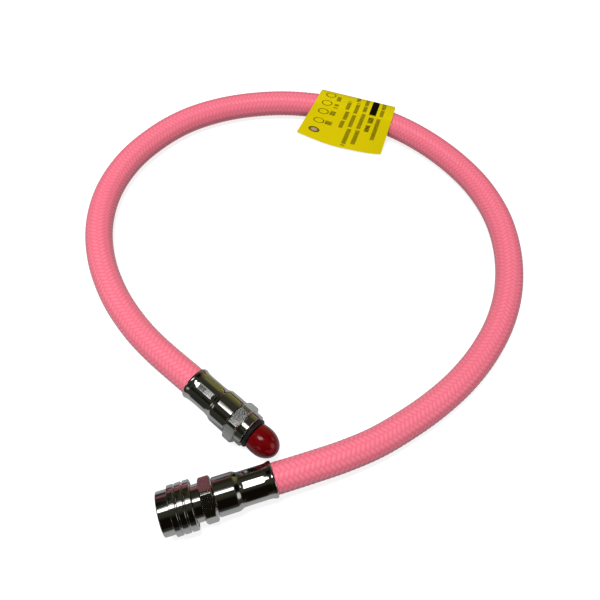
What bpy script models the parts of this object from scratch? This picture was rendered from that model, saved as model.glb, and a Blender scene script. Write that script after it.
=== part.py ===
"""Low-pressure inflator hose: a braided hose in one loop, a quick-release coupler crimped on one
end and a capped screw fitting crimped on the other. Run with blender --background --python part.py.

Sizes are in millimetres and become metres when a mesh is made. +Z is up, the hose lies on z = 0,
and the origin lies on that floor under the middle of the two fittings. The coupler lies along X,
with its mouth towards -X.

Each fitting is turned about its own axis. A station on that axis is counted from the ferrule's
flared mouth, where the hose comes out, and grows towards the fitting's free end.
"""
import math

import bmesh
import bpy
from mathutils import Matrix, Vector

MM = 0.001
UP = Vector((0.0, 0.0, 1.0))
CLEARANCE = 0.3          # running gap between neighbouring pieces
EDGE_BREAK = 0.2         # chamfer on a small turned edge
ROUND_STEPS = 32         # facets round a fitting
SMALL_STEPS = 20         # facets round a valve piece
CURVE_STEPS = 3          # facets along a drawn-in or flared stretch
DOME_STEPS = 8           # facets from a dome's tip to its widest ring
SHARP_ANGLE = 30.0       # an edge that turns more than this stays sharp
MERGE_DISTANCE = 0.01
HOLE_REACH = 1.0         # how far the cutter of a hole passes the wall
FLAT_REACH = 0.1         # how far the cutter of the flats passes the hexagon
CUTTER_OVERSIZE = 3.0    # length of a slot's cutter against the wall it crosses
ARC_MIDDLE = 1.0 - math.sqrt(0.5)  # how far a rounded edge's middle lies inside its corner, in radii

# Hose
HOSE_RADIUS = 5.45
HOSE_BORE_RADIUS = 3.3
HOSE_CRIMPED_RADIUS = 4.65   # squeezed between ferrule and tail
HOSE_SPACING = 14.0          # between two points of the tube
HOSE_LAY_HEIGHT = 5.5        # the hose's centre above the floor
ROUTE_LEAD = 15.0            # the hose leaves each ferrule straight
ROUTE_STEPS = 16             # points of the smooth curve between two route points

# Ferrule, the same on both ends
FERRULE_LENGTH = 20.3
FLARE_RADIUS = 6.3
FLARE_LIP = 1.1
FLARE_LENGTH = 2.8
FLARE_MOUTH_LENGTH = 0.4     # the bore's straight stretch at the mouth
FLARE_EDGE = 0.3
NECK_RADIUS = 5.88
NECK_END = 11.5
BARREL_START = 13.7
BARREL_RADIUS = 6.6
BARREL_WALL = 0.9
FERRULE_END_WALL = 1.2
FERRULE_END_EDGE = 0.4
FERRULE_HOLE_RADIUS = 4.5
CRIMP_FLAT_COUNT = 8
CRIMP_ACROSS = 11.5          # across two opposite crimp flats
CRIMP_START = 3.4
CRIMP_END = 11.1

# Tail and hexagon, the same on both stems
TAIL_START = 2.5
TAIL_RADIUS = 2.65
TAIL_BORE_RADIUS = 1.9
TAIL_TIP_TAPER = 0.1
BARB_RADIUS = 3.0
BARB_LENGTH = 2.8
BARB_COUNT = 4
STOP_COLLAR_RADIUS = 5.2
STOP_COLLAR_LENGTH = 0.9
HEX_SIDE_COUNT = 6
HEX_ACROSS = 14.0
HEX_CORNER_RADIUS = 7.75     # the bar's corners are turned down to this
HEX_FACE_RADIUS = 7.1        # where the chamfer meets the end face
HEX_CHAMFER = 0.45
HEX_LENGTH = 4.1

# Coupler
COUPLER_LENGTH = 38.6
SOCKET_RADIUS = 4.6
SOCKET_DEPTH = 10.2
SOCKET_LEAD_IN = 0.35
BODY_WALL = 1.1              # round the socket
NECK_STEP = 0.5              # from the body up to its neck
BODY_RECESS = 0.3            # the body's front face behind the sleeve's

# Release sleeve
SLEEVE_LENGTH = 11.2
SLEEVE_WALL = 1.05           # under the ribs, round the spring
SLEEVE_FRONT_STEP = 0.94     # from the front up to the ribs
SLEEVE_FRONT_LENGTH = 3.9
RIB_COUNT = 3
RIB_GROOVE_WIDTH = 0.45
RIB_GROOVE_DEPTH = 0.45
RIB_CHAMFER = 0.2
SLEEVE_EDGE = 0.35
SLEEVE_TRAVEL = 2.0
SLEEVE_STEP_LENGTH = 0.5     # the inner collar that meets the snap ring
SLEEVE_TO_NECK = 0.1         # from the sleeve's rear end to the body's neck
RAMP_ROOM_SLACK = 0.1        # past the freed balls
SLEEVE_FLANGE_LENGTH = 0.2   # from the ramp's end to the spring's seat
SPRING_ROOM = 1.6            # between body and sleeve

# Snap ring in the body's front groove
SNAP_RING_START = 1.1        # from the mouth
SNAP_RING_THICKNESS = 0.6
SNAP_RING_PROUD = 0.8        # how far it stands out of the body
SNAP_RING_BITE = 0.5         # the groove's depth
SNAP_RING_OPENING = 3.0

# Locking balls
BALL_COUNT = 6
BALL_RADIUS = 0.9
BALL_BITE = 0.5              # how far a ball reaches into the socket
BALL_HOLE_SLACK = 0.08       # at the hole's narrow inner end
BALL_HOLE_STEPS = 16
BALL_STEPS = 12

# Sleeve spring and its rear washer
SPRING_STEPS = 14            # points in one turn of a spring
SLEEVE_SPRING_WIRE = 0.45
SLEEVE_SPRING_TURNS = 2.25
WASHER_THICKNESS = 0.45

# Socket's O-ring
NIPPLE_RING_SECTION = 0.55
NIPPLE_RING_STEPS = 6
NIPPLE_GROOVE_DEPTH = 0.6
NIPPLE_GROOVE_START = 8.2    # from the mouth

# Self-closing valve, from the socket's floor inwards
VALVE_BORE_RADIUS = 2.9
CORE_SETBACK = 0.3
CORE_GUIDE_RADIUS = 0.9
CORE_GUIDE_LENGTH = 0.8
CORE_ROOM_RADIUS = 1.95
CORE_ROOM_LENGTH = 4.2
CORE_THROAT_RADIUS = 1.2
CORE_THROAT_LENGTH = 0.9
CORE_SLOT_WIDTH = 0.9
CORE_SLOT_DEPTH = 0.5
PIN_RADIUS = 0.6
PIN_REACH = 3.2              # how far its tip stands out of the socket's floor
PIN_COLLAR_RADIUS = 1.6
PIN_COLLAR_LENGTH = 0.4
PIN_HEAD_RADIUS = 2.1
PIN_HEAD_LENGTH = 0.7
PIN_TRAVEL = 1.4
SEAL_THICKNESS = 0.5
SEAL_RADIUS = 1.95
VALVE_SPRING_WIRE = 0.38
VALVE_SPRING_TURNS = 3.5

# Screw fitting
SEAT_COLLAR_RADIUS = 6.4
SEAT_COLLAR_LENGTH = 3.0
SEAT_COLLAR_CHAMFER = 0.2
SEAT_RECESS = 0.15           # the seat is cut back under the O-ring
SEAT_LAND_MARGIN = 0.1       # from the O-ring to the flat land round it
O_RING_SECTION = 0.75
O_RING_STEPS = 8
RELIEF_RADIUS = 3.95
SPIGOT_RADIUS = 4.35
SPIGOT_LENGTH = 4.65
SPIGOT_CHAMFER = 0.4

# Protective cap on the spigot
CAP_LENGTH = 9.95
CAP_RADIUS = 5.25
CAP_RIM_RADIUS = 5.05
CAP_RIM_LENGTH = 0.8
CAP_SHOULDER = 2.2           # from the rim to the widest ring
CAP_DOME_LENGTH = 6.9
CAP_TIP_WALL = 1.2

# Folded label strip
TAG_LENGTH = 37.5
TAG_THICKNESS = 0.3
TAG_FLAT = 4.2               # its flat stretch past the hose's crown
TAG_FOLD_STEPS = 12
TAG_REACH = 17.5             # from the hose's centre to the free edge
TAG_ALONG_ROUTE = 233.7      # from the screw fitting's ferrule to the tag's middle
TAG_LEAF_GAP = 0.25
TAG_LIFT = 0.75              # the hose lies on the strip's lower leaf there

# Where the fittings lie
COUPLER_FLARE = (16.68, -18.2)
ADAPTER_FLARE = (-1.36, 23.33)
ADAPTER_TURN = -57.6
ADAPTER_AXIS_HEIGHT = HEX_ACROSS / 2

# The hose's own way from the screw fitting round the loop to the coupler, with its height
HOSE_ROUTE = (
    (-12.1, 40.4, 6.5), (-18.7, 53.9, 5.8), (-23.5, 69.1, HOSE_LAY_HEIGHT),
    (-25.5, 85.7, HOSE_LAY_HEIGHT), (-23.7, 102.7, HOSE_LAY_HEIGHT), (-17.3, 118.8, HOSE_LAY_HEIGHT),
    (-6.4, 132.5, HOSE_LAY_HEIGHT), (7.6, 142.5, HOSE_LAY_HEIGHT), (23.1, 149.0, HOSE_LAY_HEIGHT),
    (39.6, 151.4, HOSE_LAY_HEIGHT), (56.1, 150.4, HOSE_LAY_HEIGHT), (72.3, 146.2, 5.9),
    (87.7, 139.1, HOSE_LAY_HEIGHT + TAG_LIFT), (101.9, 130.0, HOSE_LAY_HEIGHT + TAG_LIFT),
    (114.6, 119.0, HOSE_LAY_HEIGHT + TAG_LIFT), (124.9, 106.0, 5.9), (132.7, 91.6, HOSE_LAY_HEIGHT),
    (137.5, 75.6, HOSE_LAY_HEIGHT), (138.3, 58.6, HOSE_LAY_HEIGHT), (134.7, 41.9, HOSE_LAY_HEIGHT),
    (127.6, 26.7, HOSE_LAY_HEIGHT), (117.8, 14.0, HOSE_LAY_HEIGHT), (105.9, 3.8, HOSE_LAY_HEIGHT),
    (93.1, -4.0, HOSE_LAY_HEIGHT), (79.9, -9.6, 5.6), (66.9, -13.6, 6.0), (54.1, -16.5, 6.7),
    (41.7, -17.8, 7.5), (29.5, -18.15, 8.15),
)

# Radii that follow from the sizes above
BODY_RADIUS = SOCKET_RADIUS + BODY_WALL
COUPLER_NECK_RADIUS = BODY_RADIUS + NECK_STEP
NIPPLE_GROOVE_RADIUS = SOCKET_RADIUS + NIPPLE_GROOVE_DEPTH
SNAP_RING_RADIUS = BODY_RADIUS + SNAP_RING_PROUD
SPRING_ROOM_RADIUS = BODY_RADIUS + SPRING_ROOM
WASHER_RADIUS = SPRING_ROOM_RADIUS - CLEARANCE
SLEEVE_RIB_RADIUS = SPRING_ROOM_RADIUS + SLEEVE_WALL
SLEEVE_FRONT_RADIUS = SLEEVE_RIB_RADIUS - SLEEVE_FRONT_STEP
COUPLER_AXIS_HEIGHT = SLEEVE_RIB_RADIUS
O_RING_MEAN_RADIUS = RELIEF_RADIUS + CLEARANCE + O_RING_SECTION
SEAT_LAND_RADIUS = O_RING_MEAN_RADIUS + O_RING_SECTION + SEAT_LAND_MARGIN

# Stations that follow from the sizes above
HEX_START = FERRULE_LENGTH + CLEARANCE
HEX_END = HEX_START + HEX_LENGTH
FERRULE_INNER_END = FERRULE_LENGTH - FERRULE_END_WALL
STOP_COLLAR_END = FERRULE_INNER_END - CLEARANCE
STOP_COLLAR_START = STOP_COLLAR_END - STOP_COLLAR_LENGTH
HOSE_END = STOP_COLLAR_START - CLEARANCE
STOP_GROOVE_RADIUS = FERRULE_HOLE_RADIUS - CLEARANCE

BALL_SEAT_RADIUS = SOCKET_RADIUS + BALL_RADIUS - BALL_BITE
RAMP_SLOPE = BALL_BITE / SLEEVE_TRAVEL
RAMP_OVER_BALL = BALL_SEAT_RADIUS + (BALL_RADIUS + CLEARANCE) * math.hypot(1.0, RAMP_SLOPE)
SLEEVE_BORE_RADIUS = BODY_RADIUS + CLEARANCE
SNAP_RING_END = SNAP_RING_START + SNAP_RING_THICKNESS
SLEEVE_STEP_START = SNAP_RING_END + CLEARANCE
RAMP_ROOM_START = SLEEVE_STEP_START + SLEEVE_STEP_LENGTH
BALL_FROM_MOUTH = RAMP_ROOM_START + SLEEVE_TRAVEL + BALL_RADIUS + CLEARANCE
RAMP_ROOM_RADIUS = RAMP_OVER_BALL + BALL_BITE + RAMP_ROOM_SLACK
RAMP_START = BALL_FROM_MOUTH - (RAMP_ROOM_RADIUS - RAMP_OVER_BALL) / RAMP_SLOPE
RAMP_END = BALL_FROM_MOUTH + (RAMP_OVER_BALL - SLEEVE_BORE_RADIUS) / RAMP_SLOPE
SPRING_SEAT = RAMP_END + SLEEVE_FLANGE_LENGTH
NECK_FROM_MOUTH = SLEEVE_LENGTH + SLEEVE_TO_NECK
WASHER_END = NECK_FROM_MOUTH - CLEARANCE
WASHER_START = WASHER_END - WASHER_THICKNESS

CORE_START = SOCKET_DEPTH + CORE_SETBACK
CORE_ROOM_START = CORE_START + CORE_GUIDE_LENGTH
CORE_ROOM_END = CORE_ROOM_START + CORE_ROOM_LENGTH
CORE_END = CORE_ROOM_END + CORE_THROAT_LENGTH
PIN_TIP = SOCKET_DEPTH - PIN_REACH
PIN_COLLAR_START = CORE_ROOM_START + CLEARANCE
PIN_COLLAR_END = PIN_COLLAR_START + PIN_COLLAR_LENGTH
SEAL_START = CORE_END + CLEARANCE
PIN_HEAD_START = SEAL_START + SEAL_THICKNESS + CLEARANCE
PIN_END = PIN_HEAD_START + PIN_HEAD_LENGTH
VALVE_BORE_END = PIN_END + PIN_TRAVEL + CLEARANCE

SEAT_FACE = HEX_END + SEAT_COLLAR_LENGTH
SEAT_RECESS_FLOOR = SEAT_FACE - SEAT_RECESS
O_RING_STATION = SEAT_RECESS_FLOOR + CLEARANCE + O_RING_SECTION
SPIGOT_START = O_RING_STATION + O_RING_SECTION + CLEARANCE
SPIGOT_END = SPIGOT_START + SPIGOT_LENGTH
CAP_TIP = SPIGOT_START + CAP_LENGTH
CAP_WIDEST = CAP_TIP - CAP_DOME_LENGTH

CHROME = ((0.62, 0.62, 0.61, 1.0), 0.08, 1.0)
STEEL = ((0.5, 0.5, 0.5, 1.0), 0.25, 1.0)
BRASS = ((0.62, 0.46, 0.2, 1.0), 0.3, 1.0)
BLACK_RUBBER = ((0.015, 0.015, 0.015, 1.0), 0.45, 0.0)
PINK_BRAID = ((0.95, 0.2, 0.28, 1.0), 0.45, 0.0)
RED_CAP = ((0.25, 0.0, 0.01, 1.0), 0.2, 0.0)
YELLOW_VINYL = ((0.72, 0.58, 0.0, 1.0), 0.4, 0.0)


def clear_scene():
    for thing in list(bpy.data.objects):
        bpy.data.objects.remove(thing, do_unlink=True)


def new_collection(name):
    collection = bpy.data.collections.new(name)
    bpy.context.scene.collection.children.link(collection)
    return collection


clear_scene()
parts = new_collection("low_pressure_hose")
cutters = new_collection("cutters")


def finish_material(name, finish):
    colour, roughness, metallic = finish
    material = bpy.data.materials.new(name)
    material.use_nodes = True
    shader = material.node_tree.nodes["Principled BSDF"]
    shader.inputs["Base Color"].default_value = colour
    shader.inputs["Roughness"].default_value = roughness
    shader.inputs["Metallic"].default_value = metallic
    return material


def place(thing, finish, carrier=None, at=(0.0, 0.0, 0.0)):
    """Puts a finished piece in the model, on its carrier, with a material of its own."""
    parts.objects.link(thing)
    thing.parent = carrier
    thing.location = Vector(at) * MM
    thing.data.materials.append(finish_material(thing.name, finish))
    return thing


def place_cutter(thing, carrier, at=(0.0, 0.0, 0.0)):
    cutters.objects.link(thing)
    thing.parent = carrier
    thing.location = Vector(at) * MM
    thing.hide_render = True
    thing.display_type = "WIRE"
    return thing


def cut(thing, cutter):
    boolean = thing.modifiers.new("cut_" + cutter.name, "BOOLEAN")
    boolean.operation = "DIFFERENCE"
    boolean.solver = "EXACT"
    boolean.object = cutter


def mesh_object(name, shape):
    mesh = bpy.data.meshes.new(name)
    shape.to_mesh(mesh)
    shape.free()
    return bpy.data.objects.new(name, mesh)


def smooth_sides(mesh):
    mesh.shade_smooth()
    mesh.set_sharp_from_angle(angle=math.radians(SHARP_ANGLE))


def turned(name, profile, steps=ROUND_STEPS, closed=True):
    """A piece turned about its Z axis from (station, radius) points. They run down the outer side
    from the top and, on a closed profile, back up the bore."""
    shape = bmesh.new()
    corners = [shape.verts.new((radius * MM, 0.0, station * MM)) for station, radius in profile]
    for first, second in zip(corners, corners[1:]):
        shape.edges.new((first, second))
    if closed:
        shape.edges.new((corners[-1], corners[0]))
    thing = mesh_object(name, shape)
    screw = thing.modifiers.new("turn", "SCREW")
    screw.angle = math.tau
    screw.steps = steps
    screw.render_steps = steps
    screw.use_merge_vertices = True
    screw.merge_threshold = MERGE_DISTANCE * MM
    screw.use_smooth_shade = True
    return thing


def flats_cutter(name, across, start, end, sides, turn=0.0):
    """A ring with a many-sided hole, which leaves flats on the round piece inside it."""
    corner = across / 2 / math.cos(math.pi / sides)
    outside = SLEEVE_RIB_RADIUS + corner
    ring = turned(name, ((end, outside), (start, outside), (start, corner), (end, corner)), sides)
    ring.rotation_euler.z = turn
    return ring


def coil(name, radius, wire, start, end, turns):
    """A round-wire compression spring between two stations."""
    curve = bpy.data.curves.new(name, "CURVE")
    curve.dimensions = "3D"
    curve.bevel_depth = wire / 2 * MM
    curve.bevel_resolution = 2
    curve.use_fill_caps = True
    count = round(turns * SPRING_STEPS) + 1
    wire_line = curve.splines.new("POLY")
    wire_line.points.add(count - 1)
    low = start + wire / 2
    rise = end - start - wire
    for index, point in enumerate(wire_line.points):
        share = index / (count - 1)
        angle = math.tau * turns * share
        x = radius * math.cos(angle)
        y = radius * math.sin(angle)
        point.co = (x * MM, y * MM, (low + rise * share) * MM, 1.0)
    return bpy.data.objects.new(name, curve)


def torus(name, mean_radius, section, sides):
    """An O-ring lying flat about its own Z axis."""
    bpy.ops.mesh.primitive_torus_add(
        major_radius=mean_radius * MM, minor_radius=section * MM,
        major_segments=ROUND_STEPS, minor_segments=sides)
    ring = bpy.context.active_object
    for collection in list(ring.users_collection):
        collection.objects.unlink(ring)
    ring.name = name
    smooth_sides(ring.data)
    return ring


def block(name, size):
    shape = bmesh.new()
    bmesh.ops.create_cube(shape, size=1.0)
    bmesh.ops.scale(shape, vec=Vector(size) * MM, verts=shape.verts)
    return mesh_object(name, shape)


def adapter_axis():
    """The middle of the screw fitting's ferrule mouth, and the way to its free end."""
    heading = math.radians(ADAPTER_TURN)
    return Vector((*ADAPTER_FLARE, ADAPTER_AXIS_HEIGHT)), Vector((math.cos(heading), math.sin(heading), 0.0))


def coupler_axis():
    """The middle of the coupler's ferrule mouth, and the way to the coupler's own mouth."""
    return Vector((*COUPLER_FLARE, COUPLER_AXIS_HEIGHT)), Vector((-1.0, 0.0, 0.0))


def fitting_frame(name, axis):
    """An empty at the ferrule's mouth: its Z runs out to the fitting's free end, its X is up."""
    centre, along = axis
    carrier = bpy.data.objects.new(name, None)
    parts.objects.link(carrier)
    axes = Matrix((UP, along.cross(UP), along)).transposed().to_4x4()
    carrier.matrix_world = Matrix.Translation(centre * MM) @ axes
    return carrier


def eased(start, end, steps):
    """Points of a smooth S from one (station, radius) to another, without the first."""
    points = []
    for index in range(1, steps + 1):
        share = index / steps
        rise = (1 - math.cos(math.pi * share)) / 2
        station = start[0] + (end[0] - start[0]) * share
        points.append((station, start[1] + (end[1] - start[1]) * rise))
    return points


def trumpet(start, end, steps):
    """Points of a curve that leaves start level and opens ever faster up to end."""
    points = []
    for index in range(1, steps + 1):
        share = index / steps
        station = start[0] + (end[0] - start[0]) * share
        points.append((station, start[1] + (end[1] - start[1]) * share * share))
    return points


def make_ferrule(name, carrier):
    """A sleeve pressed on the hose: round barrel, crimped neck with flats and a trumpet mouth."""
    inner_neck = HOSE_CRIMPED_RADIUS + CLEARANCE
    inner_barrel = BARREL_RADIUS - BARREL_WALL
    inner_mouth = HOSE_RADIUS + CLEARANCE
    mouth_edge = (FLARE_RADIUS + inner_mouth) / 2
    edge = FERRULE_END_EDGE
    outer = [(FERRULE_LENGTH, BARREL_RADIUS - edge), (FERRULE_LENGTH - edge, BARREL_RADIUS)]
    outer += [(BARREL_START, BARREL_RADIUS)]
    outer += eased((BARREL_START, BARREL_RADIUS), (NECK_END, NECK_RADIUS), CURVE_STEPS)
    outer += [(FLARE_LENGTH, NECK_RADIUS)]
    outer += trumpet((FLARE_LENGTH, NECK_RADIUS), (FLARE_LIP, FLARE_RADIUS), CURVE_STEPS)
    outer += [(FLARE_EDGE, FLARE_RADIUS), (0.0, mouth_edge)]
    inner = [(0.0, inner_mouth), (FLARE_MOUTH_LENGTH, inner_mouth), (FLARE_LENGTH, inner_neck)]
    inner += [(NECK_END, inner_neck), (BARREL_START, inner_barrel), (FERRULE_INNER_END, inner_barrel)]
    inner += [(FERRULE_INNER_END, FERRULE_HOLE_RADIUS), (FERRULE_LENGTH, FERRULE_HOLE_RADIUS)]
    ferrule = place(turned(name, outer + inner), CHROME, carrier)
    die = flats_cutter(name + "_die", CRIMP_ACROSS, CRIMP_START, CRIMP_END, CRIMP_FLAT_COUNT)
    cut(ferrule, place_cutter(die, carrier))
    return ferrule


def hexagon_profile():
    """The chamfered blank of the hexagon and, below it, the groove that holds the ferrule."""
    return [
        (HEX_END, HEX_FACE_RADIUS), (HEX_END - HEX_CHAMFER, HEX_CORNER_RADIUS),
        (HEX_START + HEX_CHAMFER, HEX_CORNER_RADIUS), (HEX_START, HEX_FACE_RADIUS),
        (HEX_START, STOP_GROOVE_RADIUS), (STOP_COLLAR_END, STOP_GROOVE_RADIUS),
        (STOP_COLLAR_END, STOP_COLLAR_RADIUS), (STOP_COLLAR_START, STOP_COLLAR_RADIUS),
        (STOP_COLLAR_START, TAIL_RADIUS),
    ]


def tail_profile():
    """The barbed tail inside the hose: each barb rises slowly from the tail's end and drops at once."""
    barbs = []
    for index in range(BARB_COUNT):
        foot = TAIL_START + (BARB_COUNT - index) * BARB_LENGTH
        barbs += [(foot, TAIL_RADIUS), (foot, BARB_RADIUS)]
    return barbs + [(TAIL_START, TAIL_RADIUS - TAIL_TIP_TAPER), (TAIL_START, TAIL_BORE_RADIUS)]


def cut_hexagon(thing, carrier, turn):
    ring = flats_cutter(
        thing.name + "_flats", HEX_ACROSS, HEX_START - FLAT_REACH, HEX_END + FLAT_REACH, HEX_SIDE_COUNT, turn)
    cut(thing, place_cutter(ring, carrier))


def from_mouth(distance):
    """The station at a distance behind the coupler's mouth."""
    return COUPLER_LENGTH - distance


def make_coupler_body(carrier):
    front = BODY_RECESS
    groove_floor = BODY_RADIUS - SNAP_RING_BITE
    groove_start = SNAP_RING_START - CLEARANCE
    groove_end = SNAP_RING_END + CLEARANCE
    ring_room_end = NIPPLE_GROOVE_START + 2 * NIPPLE_RING_SECTION + 2 * CLEARANCE
    outer = [
        (from_mouth(front), BODY_RADIUS - EDGE_BREAK), (from_mouth(front + EDGE_BREAK), BODY_RADIUS),
        (from_mouth(groove_start), BODY_RADIUS), (from_mouth(groove_start), groove_floor),
        (from_mouth(groove_end), groove_floor), (from_mouth(groove_end), BODY_RADIUS),
        (from_mouth(NECK_FROM_MOUTH), BODY_RADIUS), (from_mouth(NECK_FROM_MOUTH), COUPLER_NECK_RADIUS),
        (HEX_END, COUPLER_NECK_RADIUS),
    ]
    inner = [
        (from_mouth(VALVE_BORE_END), TAIL_BORE_RADIUS), (from_mouth(VALVE_BORE_END), VALVE_BORE_RADIUS),
        (from_mouth(SOCKET_DEPTH), VALVE_BORE_RADIUS), (from_mouth(SOCKET_DEPTH), SOCKET_RADIUS),
        (from_mouth(ring_room_end), SOCKET_RADIUS), (from_mouth(ring_room_end), NIPPLE_GROOVE_RADIUS),
        (from_mouth(NIPPLE_GROOVE_START), NIPPLE_GROOVE_RADIUS),
        (from_mouth(NIPPLE_GROOVE_START), SOCKET_RADIUS),
        (from_mouth(front + SOCKET_LEAD_IN), SOCKET_RADIUS),
        (from_mouth(front), SOCKET_RADIUS + SOCKET_LEAD_IN),
    ]
    profile = outer + hexagon_profile() + tail_profile() + inner
    body = place(turned("coupler_body", profile), CHROME, carrier)
    cut_hexagon(body, carrier, 0.0)
    for index in range(BALL_COUNT):
        cut(body, ball_hole(index, carrier))
    return body


def ball_direction(index):
    angle = math.tau * index / BALL_COUNT
    return Vector((math.cos(angle), math.sin(angle), 0.0))


def ball_hole(index, carrier):
    """A tapered hole through the body's wall, too narrow at its inner end for the ball to fall in."""
    narrow = math.sqrt(BALL_RADIUS ** 2 - (BALL_SEAT_RADIUS - SOCKET_RADIUS) ** 2) + BALL_HOLE_SLACK
    wide = BALL_RADIUS + CLEARANCE
    slope = (wide - narrow) / (BODY_RADIUS - SOCKET_RADIUS)
    depth = BODY_RADIUS - SOCKET_RADIUS + 2 * HOLE_REACH
    shape = bmesh.new()
    bmesh.ops.create_cone(
        shape, cap_ends=True, segments=BALL_HOLE_STEPS, depth=depth * MM,
        radius1=(narrow - slope * HOLE_REACH) * MM, radius2=(wide + slope * HOLE_REACH) * MM)
    hole = mesh_object("ball_hole_%d" % (index + 1), shape)
    outward = ball_direction(index)
    middle = outward * (BODY_RADIUS + SOCKET_RADIUS) / 2
    hole.rotation_euler = outward.to_track_quat("Z", "Y").to_euler()
    return place_cutter(hole, carrier, (middle.x, middle.y, from_mouth(BALL_FROM_MOUTH)))


def make_lock_ball(index, carrier):
    shape = bmesh.new()
    bmesh.ops.create_uvsphere(
        shape, u_segments=BALL_STEPS, v_segments=BALL_STEPS // 2, radius=BALL_RADIUS * MM)
    ball = mesh_object("lock_ball_%d" % (index + 1), shape)
    ball.data.shade_smooth()
    seat = ball_direction(index) * BALL_SEAT_RADIUS
    return place(ball, STEEL, carrier, (seat.x, seat.y, from_mouth(BALL_FROM_MOUTH)))


def make_release_sleeve(carrier):
    """A sleeve with a plain front and ribs to grip. Its bore holds the ramp that frees the balls."""
    front = SLEEVE_FRONT_RADIUS
    rib_room = SLEEVE_LENGTH - SLEEVE_FRONT_LENGTH - (RIB_COUNT - 1) * RIB_GROOVE_WIDTH
    rib_length = rib_room / RIB_COUNT
    groove = SLEEVE_RIB_RADIUS - RIB_GROOVE_DEPTH
    arc_middle = SLEEVE_EDGE * ARC_MIDDLE
    outer = [(from_mouth(0.0), front - SLEEVE_EDGE), (from_mouth(arc_middle), front - arc_middle)]
    outer += [(from_mouth(SLEEVE_EDGE), front), (from_mouth(SLEEVE_FRONT_LENGTH), front)]
    start = SLEEVE_FRONT_LENGTH
    for index in range(RIB_COUNT):
        end = start + rib_length
        outer += [
            (from_mouth(start), SLEEVE_RIB_RADIUS - RIB_CHAMFER),
            (from_mouth(start + RIB_CHAMFER), SLEEVE_RIB_RADIUS),
            (from_mouth(end - RIB_CHAMFER), SLEEVE_RIB_RADIUS),
            (from_mouth(end), SLEEVE_RIB_RADIUS - RIB_CHAMFER),
        ]
        if index < RIB_COUNT - 1:
            outer += [(from_mouth(end), groove), (from_mouth(end + RIB_GROOVE_WIDTH), groove)]
        start = end + RIB_GROOVE_WIDTH
    ring_room = SNAP_RING_RADIUS + CLEARANCE
    inner = [
        (from_mouth(SLEEVE_LENGTH), SPRING_ROOM_RADIUS), (from_mouth(SPRING_SEAT), SPRING_ROOM_RADIUS),
        (from_mouth(SPRING_SEAT), SLEEVE_BORE_RADIUS), (from_mouth(RAMP_END), SLEEVE_BORE_RADIUS),
        (from_mouth(RAMP_START), RAMP_ROOM_RADIUS), (from_mouth(RAMP_ROOM_START), RAMP_ROOM_RADIUS),
        (from_mouth(RAMP_ROOM_START), SLEEVE_BORE_RADIUS),
        (from_mouth(SLEEVE_STEP_START), SLEEVE_BORE_RADIUS), (from_mouth(SLEEVE_STEP_START), ring_room),
        (from_mouth(0.0), ring_room),
    ]
    return place(turned("release_sleeve", outer + inner), CHROME, carrier)


def make_flat_ring(name, start, end, inner, outer, finish, carrier, steps=ROUND_STEPS):
    profile = ((end, outer), (start, outer), (start, inner), (end, inner))
    return place(turned(name, profile, steps), finish, carrier)


def make_snap_ring(carrier):
    inner = BODY_RADIUS - SNAP_RING_BITE + CLEARANCE
    ring = make_flat_ring(
        "sleeve_snap_ring", from_mouth(SNAP_RING_END), from_mouth(SNAP_RING_START),
        inner, SNAP_RING_RADIUS, STEEL, carrier)
    size = (SNAP_RING_RADIUS, SNAP_RING_OPENING, SNAP_RING_THICKNESS * CUTTER_OVERSIZE)
    opening = block("snap_ring_opening", size)
    middle = from_mouth((SNAP_RING_START + SNAP_RING_END) / 2)
    cut(ring, place_cutter(opening, carrier, (-SNAP_RING_RADIUS, 0.0, middle)))
    return ring


def make_sleeve_spring(carrier):
    radius = (BODY_RADIUS + SPRING_ROOM_RADIUS) / 2
    start = from_mouth(WASHER_START) + CLEARANCE
    end = from_mouth(SPRING_SEAT) - CLEARANCE
    spring = coil("sleeve_spring", radius, SLEEVE_SPRING_WIRE, start, end, SLEEVE_SPRING_TURNS)
    return place(spring, STEEL, carrier)


def make_nipple_ring(carrier):
    mean_radius = NIPPLE_GROOVE_RADIUS - CLEARANCE - NIPPLE_RING_SECTION
    ring = torus("nipple_o_ring", mean_radius, NIPPLE_RING_SECTION, NIPPLE_RING_STEPS)
    middle = from_mouth(NIPPLE_GROOVE_START + CLEARANCE + NIPPLE_RING_SECTION)
    return place(ring, BLACK_RUBBER, carrier, (0.0, 0.0, middle))


def make_valve_core(carrier):
    outside = VALVE_BORE_RADIUS - CLEARANCE
    profile = (
        (from_mouth(CORE_START), outside - EDGE_BREAK), (from_mouth(CORE_START + EDGE_BREAK), outside),
        (from_mouth(CORE_END), outside), (from_mouth(CORE_END), CORE_THROAT_RADIUS),
        (from_mouth(CORE_ROOM_END), CORE_THROAT_RADIUS), (from_mouth(CORE_ROOM_END), CORE_ROOM_RADIUS),
        (from_mouth(CORE_ROOM_START), CORE_ROOM_RADIUS), (from_mouth(CORE_ROOM_START), CORE_GUIDE_RADIUS),
        (from_mouth(CORE_START), CORE_GUIDE_RADIUS),
    )
    core = place(turned("valve_core", profile, SMALL_STEPS), BRASS, carrier)
    slot = block("core_slot", (outside * CUTTER_OVERSIZE, CORE_SLOT_WIDTH, CORE_SLOT_DEPTH * 2))
    cut(core, place_cutter(slot, carrier, (0.0, 0.0, from_mouth(CORE_START))))
    return core


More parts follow.
